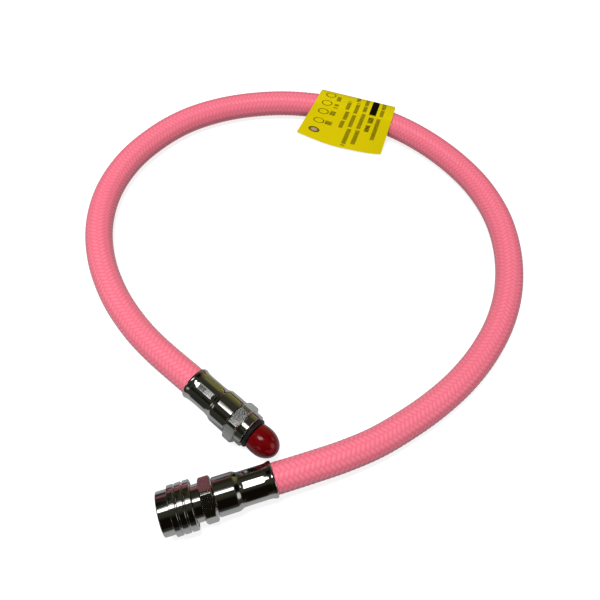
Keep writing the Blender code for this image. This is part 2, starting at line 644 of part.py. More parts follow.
def make_valve_pin(carrier):
    """One turned pin: tip, spring collar, stem and the head that closes the throat."""
    profile = (
        (from_mouth(PIN_TIP), 0.0), (from_mouth(PIN_TIP), PIN_RADIUS - EDGE_BREAK),
        (from_mouth(PIN_TIP + EDGE_BREAK), PIN_RADIUS), (from_mouth(PIN_COLLAR_START), PIN_RADIUS),
        (from_mouth(PIN_COLLAR_START), PIN_COLLAR_RADIUS), (from_mouth(PIN_COLLAR_END), PIN_COLLAR_RADIUS),
        (from_mouth(PIN_COLLAR_END), PIN_RADIUS), (from_mouth(PIN_HEAD_START), PIN_RADIUS),
        (from_mouth(PIN_HEAD_START), PIN_HEAD_RADIUS),
        (from_mouth(PIN_END - EDGE_BREAK), PIN_HEAD_RADIUS),
        (from_mouth(PIN_END), PIN_HEAD_RADIUS - EDGE_BREAK), (from_mouth(PIN_END), 0.0),
    )
    return place(turned("valve_pin", profile, SMALL_STEPS, closed=False), BRASS, carrier)


def make_valve_spring(carrier):
    radius = (PIN_RADIUS + CORE_ROOM_RADIUS) / 2
    start = from_mouth(CORE_ROOM_END) + CLEARANCE
    end = from_mouth(PIN_COLLAR_END) - CLEARANCE
    spring = coil("valve_spring", radius, VALVE_SPRING_WIRE, start, end, VALVE_SPRING_TURNS)
    return place(spring, STEEL, carrier)


def make_coupler():
    carrier = fitting_frame("coupler_end", coupler_axis())
    make_ferrule("coupler_ferrule", carrier)
    make_coupler_body(carrier)
    make_release_sleeve(carrier)
    make_snap_ring(carrier)
    make_sleeve_spring(carrier)
    make_flat_ring(
        "spring_washer", from_mouth(WASHER_END), from_mouth(WASHER_START),
        BODY_RADIUS + CLEARANCE, WASHER_RADIUS, STEEL, carrier)
    for index in range(BALL_COUNT):
        make_lock_ball(index, carrier)
    make_nipple_ring(carrier)
    make_valve_core(carrier)
    make_valve_pin(carrier)
    make_valve_spring(carrier)
    make_flat_ring(
        "valve_seal", from_mouth(SEAL_START + SEAL_THICKNESS), from_mouth(SEAL_START),
        PIN_RADIUS + CLEARANCE, SEAL_RADIUS, BLACK_RUBBER, carrier, SMALL_STEPS)
    return carrier


def make_adapter_stem(carrier):
    """One turned stem: bored spigot, O-ring seat, collar, hexagon and barbed tail."""
    outer = [
        (SPIGOT_END, SPIGOT_RADIUS - SPIGOT_CHAMFER), (SPIGOT_END - SPIGOT_CHAMFER, SPIGOT_RADIUS),
        (SPIGOT_START, SPIGOT_RADIUS), (SPIGOT_START, RELIEF_RADIUS),
        (SEAT_RECESS_FLOOR, RELIEF_RADIUS), (SEAT_RECESS_FLOOR, SEAT_LAND_RADIUS),
        (SEAT_FACE, SEAT_LAND_RADIUS), (SEAT_FACE, SEAT_COLLAR_RADIUS - SEAT_COLLAR_CHAMFER),
        (SEAT_FACE - SEAT_COLLAR_CHAMFER, SEAT_COLLAR_RADIUS), (HEX_END, SEAT_COLLAR_RADIUS),
    ]
    bore = [(SPIGOT_END, TAIL_BORE_RADIUS)]
    stem = place(turned("adapter_stem", outer + hexagon_profile() + tail_profile() + bore), CHROME, carrier)
    cut_hexagon(stem, carrier, math.pi / HEX_SIDE_COUNT)
    return stem


def dome(tip, widest, radius):
    """A quarter ellipse from the tip on the axis down to the widest ring."""
    points = []
    for index in range(DOME_STEPS + 1):
        angle = math.pi / 2 * index / DOME_STEPS
        points.append((widest + (tip - widest) * math.cos(angle), radius * math.sin(angle)))
    return points


def make_thread_cap(carrier):
    inner_radius = SPIGOT_RADIUS + CLEARANCE
    inner_tip = CAP_TIP - CAP_TIP_WALL
    outer = dome(CAP_TIP, CAP_WIDEST, CAP_RADIUS)
    outer += [(SPIGOT_START + CAP_SHOULDER, CAP_RADIUS), (SPIGOT_START + CAP_RIM_LENGTH, CAP_RIM_RADIUS)]
    outer += [(SPIGOT_START, CAP_RIM_RADIUS)]
    inner = [(SPIGOT_START, inner_radius)]
    inner += reversed(dome(inner_tip, CAP_WIDEST, inner_radius))
    return place(turned("thread_cap", outer + inner, closed=False), RED_CAP, carrier)


def make_adapter():
    carrier = fitting_frame("adapter_end", adapter_axis())
    make_ferrule("adapter_ferrule", carrier)
    make_adapter_stem(carrier)
    ring = torus("adapter_o_ring", O_RING_MEAN_RADIUS, O_RING_SECTION, O_RING_STEPS)
    place(ring, BLACK_RUBBER, carrier, (0.0, 0.0, O_RING_STATION))
    make_thread_cap(carrier)
    return carrier


def through(points, index, share):
    """A point of the smooth curve between two route points, by the Catmull-Rom rule."""
    before, start, end, after = points[index - 1:index + 3]
    bend = 2 * before - 5 * start + 4 * end - after
    twist = 3 * start - before - 3 * end + after
    return (2 * start + (end - before) * share + bend * share ** 2 + twist * share ** 3) / 2


def free_route():
    """The hose's centreline from one ferrule's mouth to the other, as close points of the curve."""
    adapter_mouth, adapter_along = adapter_axis()
    coupler_mouth, coupler_along = coupler_axis()
    points = [adapter_mouth + adapter_along * ROUTE_LEAD, adapter_mouth]
    points += [Vector(point) for point in HOSE_ROUTE]
    points += [coupler_mouth, coupler_mouth + coupler_along * ROUTE_LEAD]
    line = []
    for index in range(1, len(points) - 2):
        line += [through(points, index, step / ROUTE_STEPS) for step in range(ROUTE_STEPS)]
    return line + [points[-2]]


def at_distance(line, distance):
    """The point of a line at a distance from its start, and the line's direction there."""
    travelled = 0.0
    for start, end in zip(line, line[1:]):
        step = (end - start).length
        if travelled + step >= distance:
            break
        travelled += step
    along = (end - start).normalized()
    return start + along * (distance - travelled), along


def line_length(line):
    return sum((end - start).length for start, end in zip(line, line[1:]))


def hose_stations(end_reach):
    """Points of the hose's centre with its outer radius, from its end in one ferrule to the other."""
    line = free_route()
    length = line_length(line)
    count = round(length / HOSE_SPACING)
    free = [(at_distance(line, length * index / count)[0], HOSE_RADIUS) for index in range(1, count)]
    crimped = (
        (HOSE_END + end_reach, HOSE_CRIMPED_RADIUS), (FLARE_LENGTH, HOSE_CRIMPED_RADIUS),
        (FLARE_MOUTH_LENGTH, HOSE_RADIUS))
    ends = []
    for mouth, along in (adapter_axis(), coupler_axis()):
        ends.append([(mouth + along * station, radius) for station, radius in crimped])
    return ends[0] + free + ends[1][::-1]


def tube(name, stations):
    """A closed round tube through the points, each with its radius, as a mesh."""
    curve = bpy.data.curves.new(name, "CURVE")
    curve.dimensions = "3D"
    curve.bevel_depth = MM
    curve.bevel_resolution = 4
    curve.use_fill_caps = True
    line = curve.splines.new("POLY")
    line.points.add(len(stations) - 1)
    for point, (place_of_point, radius) in zip(line.points, stations):
        point.co = (*(place_of_point * MM), 1.0)
        point.radius = radius
    guide = bpy.data.objects.new(name + "_curve", curve)
    bpy.context.scene.collection.objects.link(guide)
    bpy.context.view_layer.update()
    evaluated = guide.evaluated_get(bpy.context.evaluated_depsgraph_get())
    mesh = bpy.data.meshes.new_from_object(evaluated)
    shape = bmesh.new()
    shape.from_mesh(mesh)
    bmesh.ops.remove_doubles(shape, verts=shape.verts, dist=MERGE_DISTANCE * MM)
    shape.to_mesh(mesh)
    shape.free()
    thing = bpy.data.objects.new(name, mesh)
    thing.matrix_world = guide.matrix_world
    bpy.data.objects.remove(guide, do_unlink=True)
    smooth_sides(mesh)
    return thing


def make_hose():
    """The hose with its bore, squeezed where the ferrules grip it."""
    hose = place(tube("hose", hose_stations(0.0)), PINK_BRAID)
    bore_stations = [(point, HOSE_BORE_RADIUS) for point, _ in hose_stations(HOLE_REACH)]
    cut(hose, place_cutter(tube("hose_bore", bore_stations), None))
    return hose


def tag_section():
    """The strip's section, from one free edge over and round the hose to the other, as (across,
    height) from the hose's centre. Across is positive towards the inside of the loop."""
    radius = HOSE_RADIUS + CLEARANCE + TAG_THICKNESS / 2
    leaf_step = TAG_THICKNESS + TAG_LEAF_GAP
    section = [(TAG_REACH, leaf_step - radius), (TAG_FLAT, radius)]
    for index in range(TAG_FOLD_STEPS + 1):
        angle = math.pi * index / TAG_FOLD_STEPS
        section.append((-radius * math.sin(angle), radius * math.cos(angle)))
    section.append((TAG_REACH, -radius))
    return section


def make_hose_tag():
    """A strip folded over the hose. Its upper leaf slopes down to the lower one, on the floor."""
    middle, along = at_distance(free_route(), TAG_ALONG_ROUTE)
    along.z = 0.0
    along.normalize()
    shape = bmesh.new()
    half = TAG_LENGTH / 2
    corners = [shape.verts.new((-half * MM, -n * MM, height * MM)) for n, height in tag_section()]
    edges = [shape.edges.new(pair) for pair in zip(corners, corners[1:])]
    drawn = bmesh.ops.extrude_edge_only(shape, edges=edges)
    moved = [part for part in drawn["geom"] if isinstance(part, bmesh.types.BMVert)]
    bmesh.ops.translate(shape, verts=moved, vec=(TAG_LENGTH * MM, 0.0, 0.0))
    bmesh.ops.recalc_face_normals(shape, faces=shape.faces)
    tag = place(mesh_object("hose_tag", shape), YELLOW_VINYL)
    axes = Matrix((along, UP.cross(along), UP)).transposed().to_4x4()
    tag.matrix_world = Matrix.Translation(middle * MM) @ axes
    wall = tag.modifiers.new("thickness", "SOLIDIFY")
    wall.thickness = TAG_THICKNESS * MM
    wall.offset = 0.0
    return tag


make_adapter()
make_coupler()
make_hose()
make_hose_tag()
bpy.context.view_layer.update()
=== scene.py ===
"""The looks of a braided low-pressure hose with a quick-release coupler and a capped screw fitting."""
import math

import bpy
import numpy as np
from mathutils import Matrix, Vector


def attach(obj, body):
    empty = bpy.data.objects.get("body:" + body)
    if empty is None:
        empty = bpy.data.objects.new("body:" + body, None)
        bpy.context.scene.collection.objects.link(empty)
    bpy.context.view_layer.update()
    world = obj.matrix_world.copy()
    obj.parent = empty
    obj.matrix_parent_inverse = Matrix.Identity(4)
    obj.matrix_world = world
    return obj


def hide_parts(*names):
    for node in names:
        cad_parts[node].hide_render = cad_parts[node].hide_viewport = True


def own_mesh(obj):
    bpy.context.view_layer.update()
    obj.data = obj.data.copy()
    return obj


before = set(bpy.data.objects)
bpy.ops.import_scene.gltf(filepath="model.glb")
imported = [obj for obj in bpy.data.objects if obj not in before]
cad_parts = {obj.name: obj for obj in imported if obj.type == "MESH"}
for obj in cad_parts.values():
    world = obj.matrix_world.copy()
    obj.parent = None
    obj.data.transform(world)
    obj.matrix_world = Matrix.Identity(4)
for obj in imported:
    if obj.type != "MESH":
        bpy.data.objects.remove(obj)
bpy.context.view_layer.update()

MM = 0.001
UP = Vector((0.0, 0.0, 1.0))
ROOT = "hose_assembly"

# Where the fittings lie, in millimetres: the middle of each ferrule's flared mouth and the way to
# the fitting's free end. A station is counted along that way.
COUPLER_MOUTH = Vector((16.68, -18.2, 8.35))
COUPLER_HEADING = 180.0
ADAPTER_MOUTH = Vector((-1.36, 23.33, 7.0))
ADAPTER_HEADING = -57.6
COUPLER_LENGTH = 38.6

TURN_STEPS = 96
SMALL_TURN_STEPS = 48
SMOOTH_ANGLE = 26.0
MERGE_DISTANCE = 0.000002

# Ferrule
FERRULE_LENGTH = 20.3
FERRULE_INNER_END = 19.1
FERRULE_HOLE_RADIUS = 4.5
FLARE_RADIUS = 6.3
NECK_RADIUS = 5.88
BARREL_RADIUS = 6.6
BARREL_WALL = 0.9
BARREL_START = 13.7
NECK_END = 11.5
CRIMP_FLAT_COUNT = 8
CRIMP_APOTHEM = 5.75
CRIMP_OUTER_FROM = 5.15
NECK_HOLE_RADIUS = 4.95
CRIMP_START = 3.0
CRIMP_END = 11.3
CRIMP_RUN_OUT = 0.8

# Hexagon and tail
HEX_START = 20.6
HEX_END = 24.7
HEX_APOTHEM = 7.0
HEX_CORNER_RADIUS = 7.75
HEX_FACE_RADIUS = 7.1
HEX_CHAMFER = 0.45
HEX_FLATS_FROM = 6.6
COUPLER_HEX_TURN = 36.5
GROOVE_RADIUS = 4.2
STOP_START = 17.9
STOP_END = 18.8
STOP_RADIUS = 5.2
TAIL_RADIUS = 2.65
BARB_RADIUS = 3.0
TAIL_BORE_RADIUS = 1.9
BARB_LENGTH = 2.8
BARB_COUNT = 4
TAIL_START = 2.5

# Coupler, from its mouth, and its locking balls
BODY_RADIUS = 5.7
BODY_GROOVE_RADIUS = 5.2
SOCKET_RADIUS = 4.6
VALVE_BORE_RADIUS = 2.9
BALL_COUNT = 6
BALL_RADIUS = 0.9
BALL_CIRCLE = 5.0
BALLS_FROM_MOUTH = 5.7

# Hose
HOSE_RADIUS = 5.45
HOSE_BORE_RADIUS = 3.3
HOSE_CRIMPED_RADIUS = 4.65
HOSE_END = 17.6
HOSE_SQUEEZED_FROM = 2.8
HOSE_FULL_FROM = 0.4
ROUTE_LEAD = 15.0
ROUTE_STEPS = 16
LAY = 5.5
TAG_LIFT = 0.75
HOSE_ROUTE = (
    (-12.1, 40.4, 6.5), (-18.7, 53.9, 5.8), (-23.5, 69.1, LAY), (-25.5, 85.7, LAY),
    (-23.7, 102.7, LAY), (-17.3, 118.8, LAY), (-6.4, 132.5, LAY), (7.6, 142.5, LAY),
    (23.1, 149.0, LAY), (39.6, 151.4, LAY), (56.1, 150.4, LAY), (72.3, 146.2, 5.9),
    (87.7, 139.1, LAY + TAG_LIFT), (101.9, 130.0, LAY + TAG_LIFT), (114.6, 119.0, LAY + TAG_LIFT),
    (124.9, 106.0, 5.9), (132.7, 91.6, LAY), (137.5, 75.6, LAY), (138.3, 58.6, LAY),
    (134.7, 41.9, LAY), (127.6, 26.7, LAY), (117.8, 14.0, LAY), (105.9, 3.8, LAY),
    (93.1, -4.0, LAY), (79.9, -9.6, 5.6), (66.9, -13.6, 6.0), (54.1, -16.5, 6.7),
    (41.7, -17.8, 7.5), (29.5, -18.15, 8.15),
)

# Braid: flat bundles of yarn in two lays, each bundle over two and under two of the other lay
STRANDS_EACH_WAY = 12
BRAID_PITCH = 1.8
STEPS_PER_CELL = 5
BRAID_DEPTH = 0.14
RINGS_PER_BORE_RING = 12
BUNDLE_FALL = 3.2
CROWN_FALL = 0.7
THREADS_EACH_BUNDLE = 6.0

# Label strip
TAG_STATION = 233.7
TAG_THICKNESS = 0.26
TAG_WRAP_RADIUS = 5.9
TAG_FOLD_REACH = 7.1
TAG_FOLD_LIFT = 0.35
TAG_FLAT = 4.2
TAG_FLAT_SHARE = 0.2
TAG_DROOP = 1.12
TAG_SAG = 0.06
TAG_WAVE = 0.25
TAG_REACH = 17.9
TAG_LOWER_REACH = 13.9
TAG_END_WAYS = (0.0, 17.7, 25.3, 35.0, 52.0)
TAG_LEFT_ENDS = (-22.2, -16.5, -15.9, -15.9, -17.6)
TAG_RIGHT_ENDS = (18.65, 19.5, 19.5, 17.4, 17.0)
TAG_UPPER_SHARE = 0.36
TAG_FOLD_SHARE = 0.64
TAG_LEAF_STEP = 0.55
TAG_LENGTH_STEPS = 40
TAG_SECTION_STEPS = 52
TAG_PRINT_LENGTH = 38.0
TAG_BOW_MIDDLE = 0.55
TAG_BOW_LEFT = 2.8
TAG_BOW_RIGHT = 2.1
TAG_SMOOTH_ANGLE = 40.0

# The strip's print, in millimetres, across from its left edge and up from its free edge: the ovals as
# (across, way, half height), and the other marks as (across, half width, start, end)
OVALS = ((6.2, 4.45, 1.15), (6.15, 9.2, 1.1), (5.95, 13.8, 1.15), (5.6, 18.1, 1.3), (5.75, 23.3, 1.45))
MARKS_BESIDE = (
    (10.3, 1.1, 20.3, 23.3), (10.5, 1.1, 16.4, 18.6), (10.5, 1.35, 13.0, 15.0), (10.8, 1.7, 8.3, 10.1),
)
PRINT_ROWS = (
    (16.2, 0.8, 27.0, 28.6), (16.0, 1.0, 17.0, 22.3), (16.8, 1.0, 12.6, 16.4), (16.6, 1.0, 8.6, 12.0),
    (19.6, 0.95, 23.0, 29.3), (20.3, 0.95, 16.2, 22.4), (20.5, 0.95, 9.9, 15.6), (20.9, 1.0, 1.0, 9.2),
    (24.2, 0.95, 17.7, 28.4), (24.5, 0.95, 10.0, 17.1), (24.8, 1.0, 2.6, 9.4), (32.6, 0.95, 17.4, 28.6),
    (32.1, 0.95, 6.2, 16.4),
)
PRINT_BARS = ((28.6, 1.25, 13.5, 16.3), (28.4, 1.05, 9.5, 12.7))
PRINT_BLOCK = (28.45, 1.7, 17.1, 29.0)
OVAL_HALF_WIDTH = 2.35

# Camera
CAMERA_PLACE = Vector((8.11, -56.98, 214.57))
CAMERA_TARGET = Vector((45.66, 45.17, 5.5))
CAMERA_ROLL = 3.1
CAMERA_LENS = 36.0

# Studio drapes, which only metal and gloss see: their colour, and soft glowing patches as (direction, full
# to, gone at, colour). The patches are painted reflections: dim tinted ones, and bright ones that paint
# highlights.
DRAPE_RADIUS = 1.5
DRAPE_COLOUR = (0.04, 0.04, 0.028)
DRAPE_PAINTED_REFLECTIONS = (
    ((-0.12, -0.87, 0.47), 0.35, 0.75, (0.006, 0.004, 0.002)),
    ((-0.07, 0.93, 0.35), 0.15, 0.45, (0.022, 0.022, 0.012)),
    ((-0.17, 0.98, 0.1), 0.1, 0.22, (0.23, 0.085, 0.105)),
    ((0.64, 0.76, -0.08), 0.1, 0.85, (0.21, 0.19, 0.07)),
    ((0.76, 0.07, 0.64), 0.25, 0.45, (0.004, 0.004, 0.004)),
    ((-0.39, 0.62, 0.68), 0.2, 0.35, (0.004, 0.004, 0.004)),
    ((-0.78, -0.19, 0.6), 0.1, 0.28, (0.014, 0.014, 0.009)),
    ((-0.12, 0.26, 0.958), 0.04, 0.11, (0.9, 0.9, 0.88)),
    ((-0.07, 0.29, 0.954), 0.03, 0.09, (0.4, 0.4, 0.39)),
    ((-0.86, 0.4, 0.32), 0.08, 0.22, (0.7, 0.7, 0.68)),
    ((0.75, -0.52, 0.42), 0.14, 0.36, (0.7, 0.7, 0.68)),
    ((-0.7, -0.62, 0.36), 0.06, 0.2, (0.5, 0.5, 0.48)),
    ((0.95, 0.1, 0.3), 0.06, 0.2, (0.5, 0.5, 0.48)),
)
LAMP_PLACE = Vector((-0.062, 0.054, 0.6))
LAMP_SIZE = (0.27, 0.13)
LAMP_POWER = 3.5
PANEL_GLOW = 3.5
WHITE = (1.0, 1.0, 1.0)
FLOOR_COLOUR = (0.42, 0.42, 0.42)
FLOOR_GLOW = 0.83
ROOM_LIGHT = 0.22


class Nodes:
    """Short ways to write the nodes of a material or of the world."""

    def __init__(self, owner):
        self.tree = owner.node_tree
        self.shader = self.tree.nodes.get("Principled BSDF")

    def add(self, kind, **values):
        node = self.tree.nodes.new(kind)
        for name, value in values.items():
            setattr(node, name, value)
        return node

    def link(self, source, target):
        self.tree.links.new(source, target)

    def feed(self, target, value):
        """Links a socket to the target, or sets a number or colour on the target itself."""
        if isinstance(value, bpy.types.NodeSocket):
            self.link(value, target)
        elif target.type == "RGBA":
            target.default_value = (*value, 1.0)
        else:
            target.default_value = value

    def set(self, name, value):
        self.feed(self.shader.inputs[name], value)

    def show(self, surface):
        output = next(node for node in self.tree.nodes if node.type.startswith("OUTPUT_"))
        self.link(surface, output.inputs["Surface"])

    def math(self, operation, *values):
        node = self.add("ShaderNodeMath", operation=operation)
        for target, value in zip(node.inputs, values):
            self.feed(target, value)
        return node.outputs[0]

    def plus(self, first, second):
        return self.math("ADD", first, second)

    def minus(self, first, second):
        return self.math("SUBTRACT", first, second)

    def times(self, first, second):
        return self.math("MULTIPLY", first, second)

    def larger(self, first, second):
        return self.math("MAXIMUM", first, second)

    def mix(self, share, first, second):
        """A colour between two."""
        node = self.add("ShaderNodeMix", data_type="RGBA")
        self.feed(node.inputs["Factor"], share)
        for name, value in (("A", first), ("B", second)):
            self.feed(next(i for i in node.inputs if i.name == name and i.type == "RGBA"), value)
        return next(o for o in node.outputs if o.type == "RGBA")

    def choose(self, share, first, second):
        """A number between two."""
        node = self.add("ShaderNodeMix", data_type="FLOAT")
        for name, value in (("Factor", share), ("A", first), ("B", second)):
            self.feed(node.inputs[name], value)
        return node.outputs[0]

    def blend(self, share, first, second):
        """A surface between two."""
        node = self.add("ShaderNodeMixShader")
        for target, value in zip(node.inputs, (share, first, second)):
            self.feed(target, value)
        return node.outputs[0]

    def span(self, value, low, high, to_low=0.0, to_high=1.0, soft=False):
        node = self.add("ShaderNodeMapRange", interpolation_type="SMOOTHSTEP" if soft else "LINEAR")
        for target, number in zip(node.inputs, (value, low, high, to_low, to_high)):
            self.feed(target, number)
        return node.outputs[0]

    def place(self):
        return self.add("ShaderNodeTexCoord").outputs["Object"]

    def map(self, name):
        return self.add("ShaderNodeUVMap", uv_map=name).outputs["UV"]

    def parts(self, vector):
        node = self.add("ShaderNodeSeparateXYZ")
        self.link(vector, node.inputs[0])
        return node.outputs["X"], node.outputs["Y"]

    def distance(self, point):
        node = self.add("ShaderNodeVectorMath", operation="DISTANCE")
        self.link(self.place(), node.inputs[0])
        node.inputs[1].default_value = point
        return node.outputs["Value"]

    def glow(self, colour, strength=1.0, kind="ShaderNodeEmission"):
        node = self.add(kind)
        self.feed(node.inputs["Color"], colour)
        self.feed(node.inputs["Strength"], strength)
        return node.outputs[0]

    def noise(self, scale, detail):
        node = self.add("ShaderNodeTexNoise")
        self.link(self.place(), node.inputs["Vector"])
        node.inputs["Scale"].default_value = scale
        node.inputs["Detail"].default_value = detail
        return node.outputs["Fac"]

    def bump(self, height, distance, strength, below=None):
        """The height's relief, in millimetres, over what lies below."""
        node = self.add("ShaderNodeBump")
        node.inputs["Distance"].default_value = distance * MM
        node.inputs["Strength"].default_value = strength
        self.link(height, node.inputs["Height"])
        if below is not None:
            self.link(below, node.inputs["Normal"])
        return node.outputs["Normal"]


def new_material(name, colour, roughness, metallic=0.0, writer=Nodes):
    """A new material, and the short ways to write its nodes."""
    material = bpy.data.materials.new(name)
    material.use_nodes = True
    nodes = writer(material)
    nodes.set("Base Color", colour)
    nodes.set("Roughness", roughness)
    nodes.set("Metallic", metallic)
    return material, nodes


def plated_metal(name, colour, roughness, marks):
    """Plated, turned metal: fine lathe lines round the piece, smears and a few specks."""
    material, nodes = new_material(name, colour, roughness, 1.0)
    nodes.set("Roughness", nodes.span(nodes.noise(90.0, 5.0), 0.35, 0.75, roughness * 0.7, roughness * 1.7))
    lathe = nodes.add("ShaderNodeTexNoise", noise_dimensions="1D")
    nodes.link(nodes.add("ShaderNodeAttribute", attribute_name="station").outputs["Fac"], lathe.inputs["W"])
    lathe.inputs["Scale"].default_value = 9.0
    lathe.inputs["Detail"].default_value = 3.0
    lines = nodes.bump(lathe.outputs["Fac"], marks, 0.35)
    nodes.set("Normal", nodes.bump(nodes.noise(260.0, 2.0), marks * 2.0, 0.25, lines))
    stain = nodes.span(nodes.noise(420.0, 6.0), 0.62, 0.8)
    nodes.set("Base Color", nodes.mix(stain, colour, tuple(0.8 * part for part in colour)))
    return material


def milled_metal(name, colour, roughness):
    """Plated flats with the mill's fine tooth, duller than the turned surfaces."""
    material = plated_metal(name, colour, roughness, 0.012)
    nodes = Nodes(material)
    below = nodes.shader.inputs["Normal"].links[0].from_socket
    nodes.set("Normal", nodes.bump(nodes.noise(1600.0, 2.0), 0.03, 0.6, below))
    return material


def black_rubber():
    material, nodes = new_material("black_rubber", (0.012, 0.012, 0.012), 0.4)
    grain = nodes.noise(1500.0, 3.0)
    nodes.set("Roughness", nodes.span(grain, 0.3, 0.7, 0.32, 0.5))
    nodes.set("Normal", nodes.bump(grain, 0.03, 0.5))
    return material


def dipped_vinyl():
    """The cap's soft glossy vinyl, slightly wavy from dipping and a little see-through at its skin."""
    material, nodes = new_material("dipped_vinyl", (0.14, 0.0, 0.002), 0.16)
    nodes.set("Base Color", nodes.mix(nodes.noise(160.0, 3.0), (0.11, 0.0, 0.001), (0.17, 0.0, 0.003)))
    nodes.set("Normal", nodes.bump(nodes.noise(230.0, 1.0), 0.25, 0.6))
    nodes.set("Coat Weight", 0.5)
    nodes.set("Coat Roughness", 0.05)
    nodes.set("Subsurface Weight", 0.08)
    nodes.set("Subsurface Radius", (1.0, 0.1, 0.05))
    nodes.set("Subsurface Scale", 0.8 * MM)
    return material


def braid_height(nodes, grid):
    """The braid's relief, from 0 in the gaps to 1 on the crowns, and the wave of the yarn's threads,
    both from the map's braid coordinates. One unit of either lay is one bundle. The relief follows
    the same rule as braid_relief, which shapes the mesh."""
    around, along = nodes.parts(grid)
    lays = (nodes.plus(around, along), nodes.minus(around, along))
    rows = [nodes.math("FLOOR", lay) for lay in lays]
    phase = nodes.math("FLOORED_MODULO", nodes.plus(*rows), 4.0)
    first_on_top = nodes.math("LESS_THAN", phase, 1.5)
    across = [nodes.minus(nodes.minus(lay, row), 0.5) for lay, row in zip(lays, rows)]
    heights = []
    for side, other, start in ((across[0], across[1], 0.5), (across[1], across[0], 2.5)):
        way = nodes.minus(nodes.plus(other, phase), start)
        arches = [
            nodes.plus(nodes.times(nodes.times(off, off), -fall), 1.0)
            for off, fall in ((side, BUNDLE_FALL), (way, CROWN_FALL))]
        heights.append(nodes.times(*arches))
    threads = [nodes.math("SINE", nodes.times(lay, math.tau * THREADS_EACH_BUNDLE)) for lay in lays]
    return [nodes.choose(first_on_top, second, first) for first, second in (heights, threads)]


def pink_braid():
    """Satin polyester yarn, coated: bright crowns, and painted shade between the bundles, where the colour
    darkens.
    """
    material, nodes = new_material("pink_braid", (0.95, 0.2, 0.28), 0.42)
    height, thread = braid_height(nodes, nodes.map("braid"))
    # Painted shade: the colour darkens between the bundles, in the recesses where shade falls.
    painted_gap_shade = nodes.span(height, 0.1, 0.75, 1.0, 0.0)
    base = nodes.mix(nodes.noise(40.0, 3.0), (0.95, 0.2, 0.28), (1.0, 0.24, 0.32))
    nodes.set("Base Color", nodes.mix(painted_gap_shade, base, (0.88, 0.15, 0.215)))
    nodes.set("Roughness", nodes.span(height, 0.2, 1.0, 0.6, 0.36))
    nodes.set("Coat Weight", 0.6)
    nodes.set("Coat Roughness", 0.2)
    nodes.set("Sheen Weight", 0.1)
    nodes.set("Sheen Roughness", 0.4)
    nodes.set("Sheen Tint", (1.0, 0.75, 0.8))
    weave = nodes.bump(height, 0.08, 0.6)
    nodes.set("Normal", nodes.bump(thread, 0.015, 0.6, weave))
    return material


def plain_rubber():
    material, nodes = new_material("hose_lining", (0.03, 0.03, 0.03), 0.55)
    nodes.set("Normal", nodes.bump(nodes.noise(900.0, 3.0), 0.04, 0.5))
    return material


PLATE_COLOUR = (0.66, 0.66, 0.65)
milled_flats = milled_metal("milled_flats", PLATE_COLOUR, 0.2)
fine_flats = milled_metal("fine_milled_flats", PLATE_COLOUR, 0.18)

# The finishes, each a material and the record's slot for it
CHROME = (plated_metal("chrome_plate", PLATE_COLOUR, 0.05, 0.012), "chrome")
STEEL = (plated_metal("bright_steel", (0.5, 0.5, 0.5), 0.2, 0.03), "spring_steel")
BRASS = (plated_metal("turned_brass", (0.62, 0.46, 0.2), 0.24, 0.05), "valve_brass")
RUBBER = (black_rubber(), "seal_rubber")
VINYL = (dipped_vinyl(), "cap_vinyl")


def deselect_all():
    if bpy.context.object is not None and bpy.context.object.mode != "OBJECT":
        bpy.ops.object.mode_set(mode="OBJECT")
    bpy.ops.object.select_all(action="DESELECT")


def only(piece):
    deselect_all()
    piece.select_set(True)
    bpy.context.view_layer.objects.active = piece


def edit(piece):
    only(piece)
    bpy.ops.object.mode_set(mode="EDIT")
    bpy.ops.mesh.select_all(action="SELECT")


def leave_edit():
    bpy.ops.object.mode_set(mode="OBJECT")


def added(name, operator, location=(0.0, 0.0, 0.0), **settings):
    """A new primitive, the only one selected."""
    deselect_all()
    operator(location=location, **settings)
    piece = bpy.context.active_object
    piece.name = name
    return piece


def linked(name, data):
    """A new object in the scene, for a mesh, camera or lamp made without an operator."""
    thing = bpy.data.objects.new(name, data)
    bpy.context.scene.collection.objects.link(thing)
    return thing


def apply_modifiers(piece):
    only(piece)
    for modifier in list(piece.modifiers):
        bpy.ops.object.modifier_apply(modifier=modifier.name)


def face_outwards(piece):
    edit(piece)
    bpy.ops.mesh.normals_make_consistent(inside=False)
    leave_edit()


def spoke(angle):
    """The level way at an angle."""
    return Vector((math.cos(angle), math.sin(angle), 0.0))


def from_axis(point):
    """How far a point lies from Z, in millimetres."""
    return math.hypot(point.x, point.y) / MM


def spread(vertex, scale):
    vertex.co.x *= scale
    vertex.co.y *= scale


def fitting_matrix(mouth, heading):
    """The fitting's own axes in the model: Z to its free end, X up, the origin in the flared mouth."""
    along = spoke(math.radians(heading))
    turn = Matrix((UP, along.cross(UP), along)).transposed().to_4x4()
    return Matrix.Translation(mouth * MM) @ turn


COUPLER = fitting_matrix(COUPLER_MOUTH, COUPLER_HEADING)
ADAPTER = fitting_matrix(ADAPTER_MOUTH, ADAPTER_HEADING)


def merge_doubles():
    bpy.ops.mesh.select_all(action="SELECT")
    bpy.ops.mesh.remove_doubles(threshold=MERGE_DISTANCE)


def start_point(name, station, radius):
    """A single vertex to draw a section from."""
    piece = added(name, bpy.ops.mesh.primitive_plane_add, size=MM)
    piece.data.name = name
    edit(piece)
    bpy.ops.mesh.merge(type="CENTER")
    bpy.ops.transform.translate(value=(radius * MM, 0.0, station * MM))
    return piece


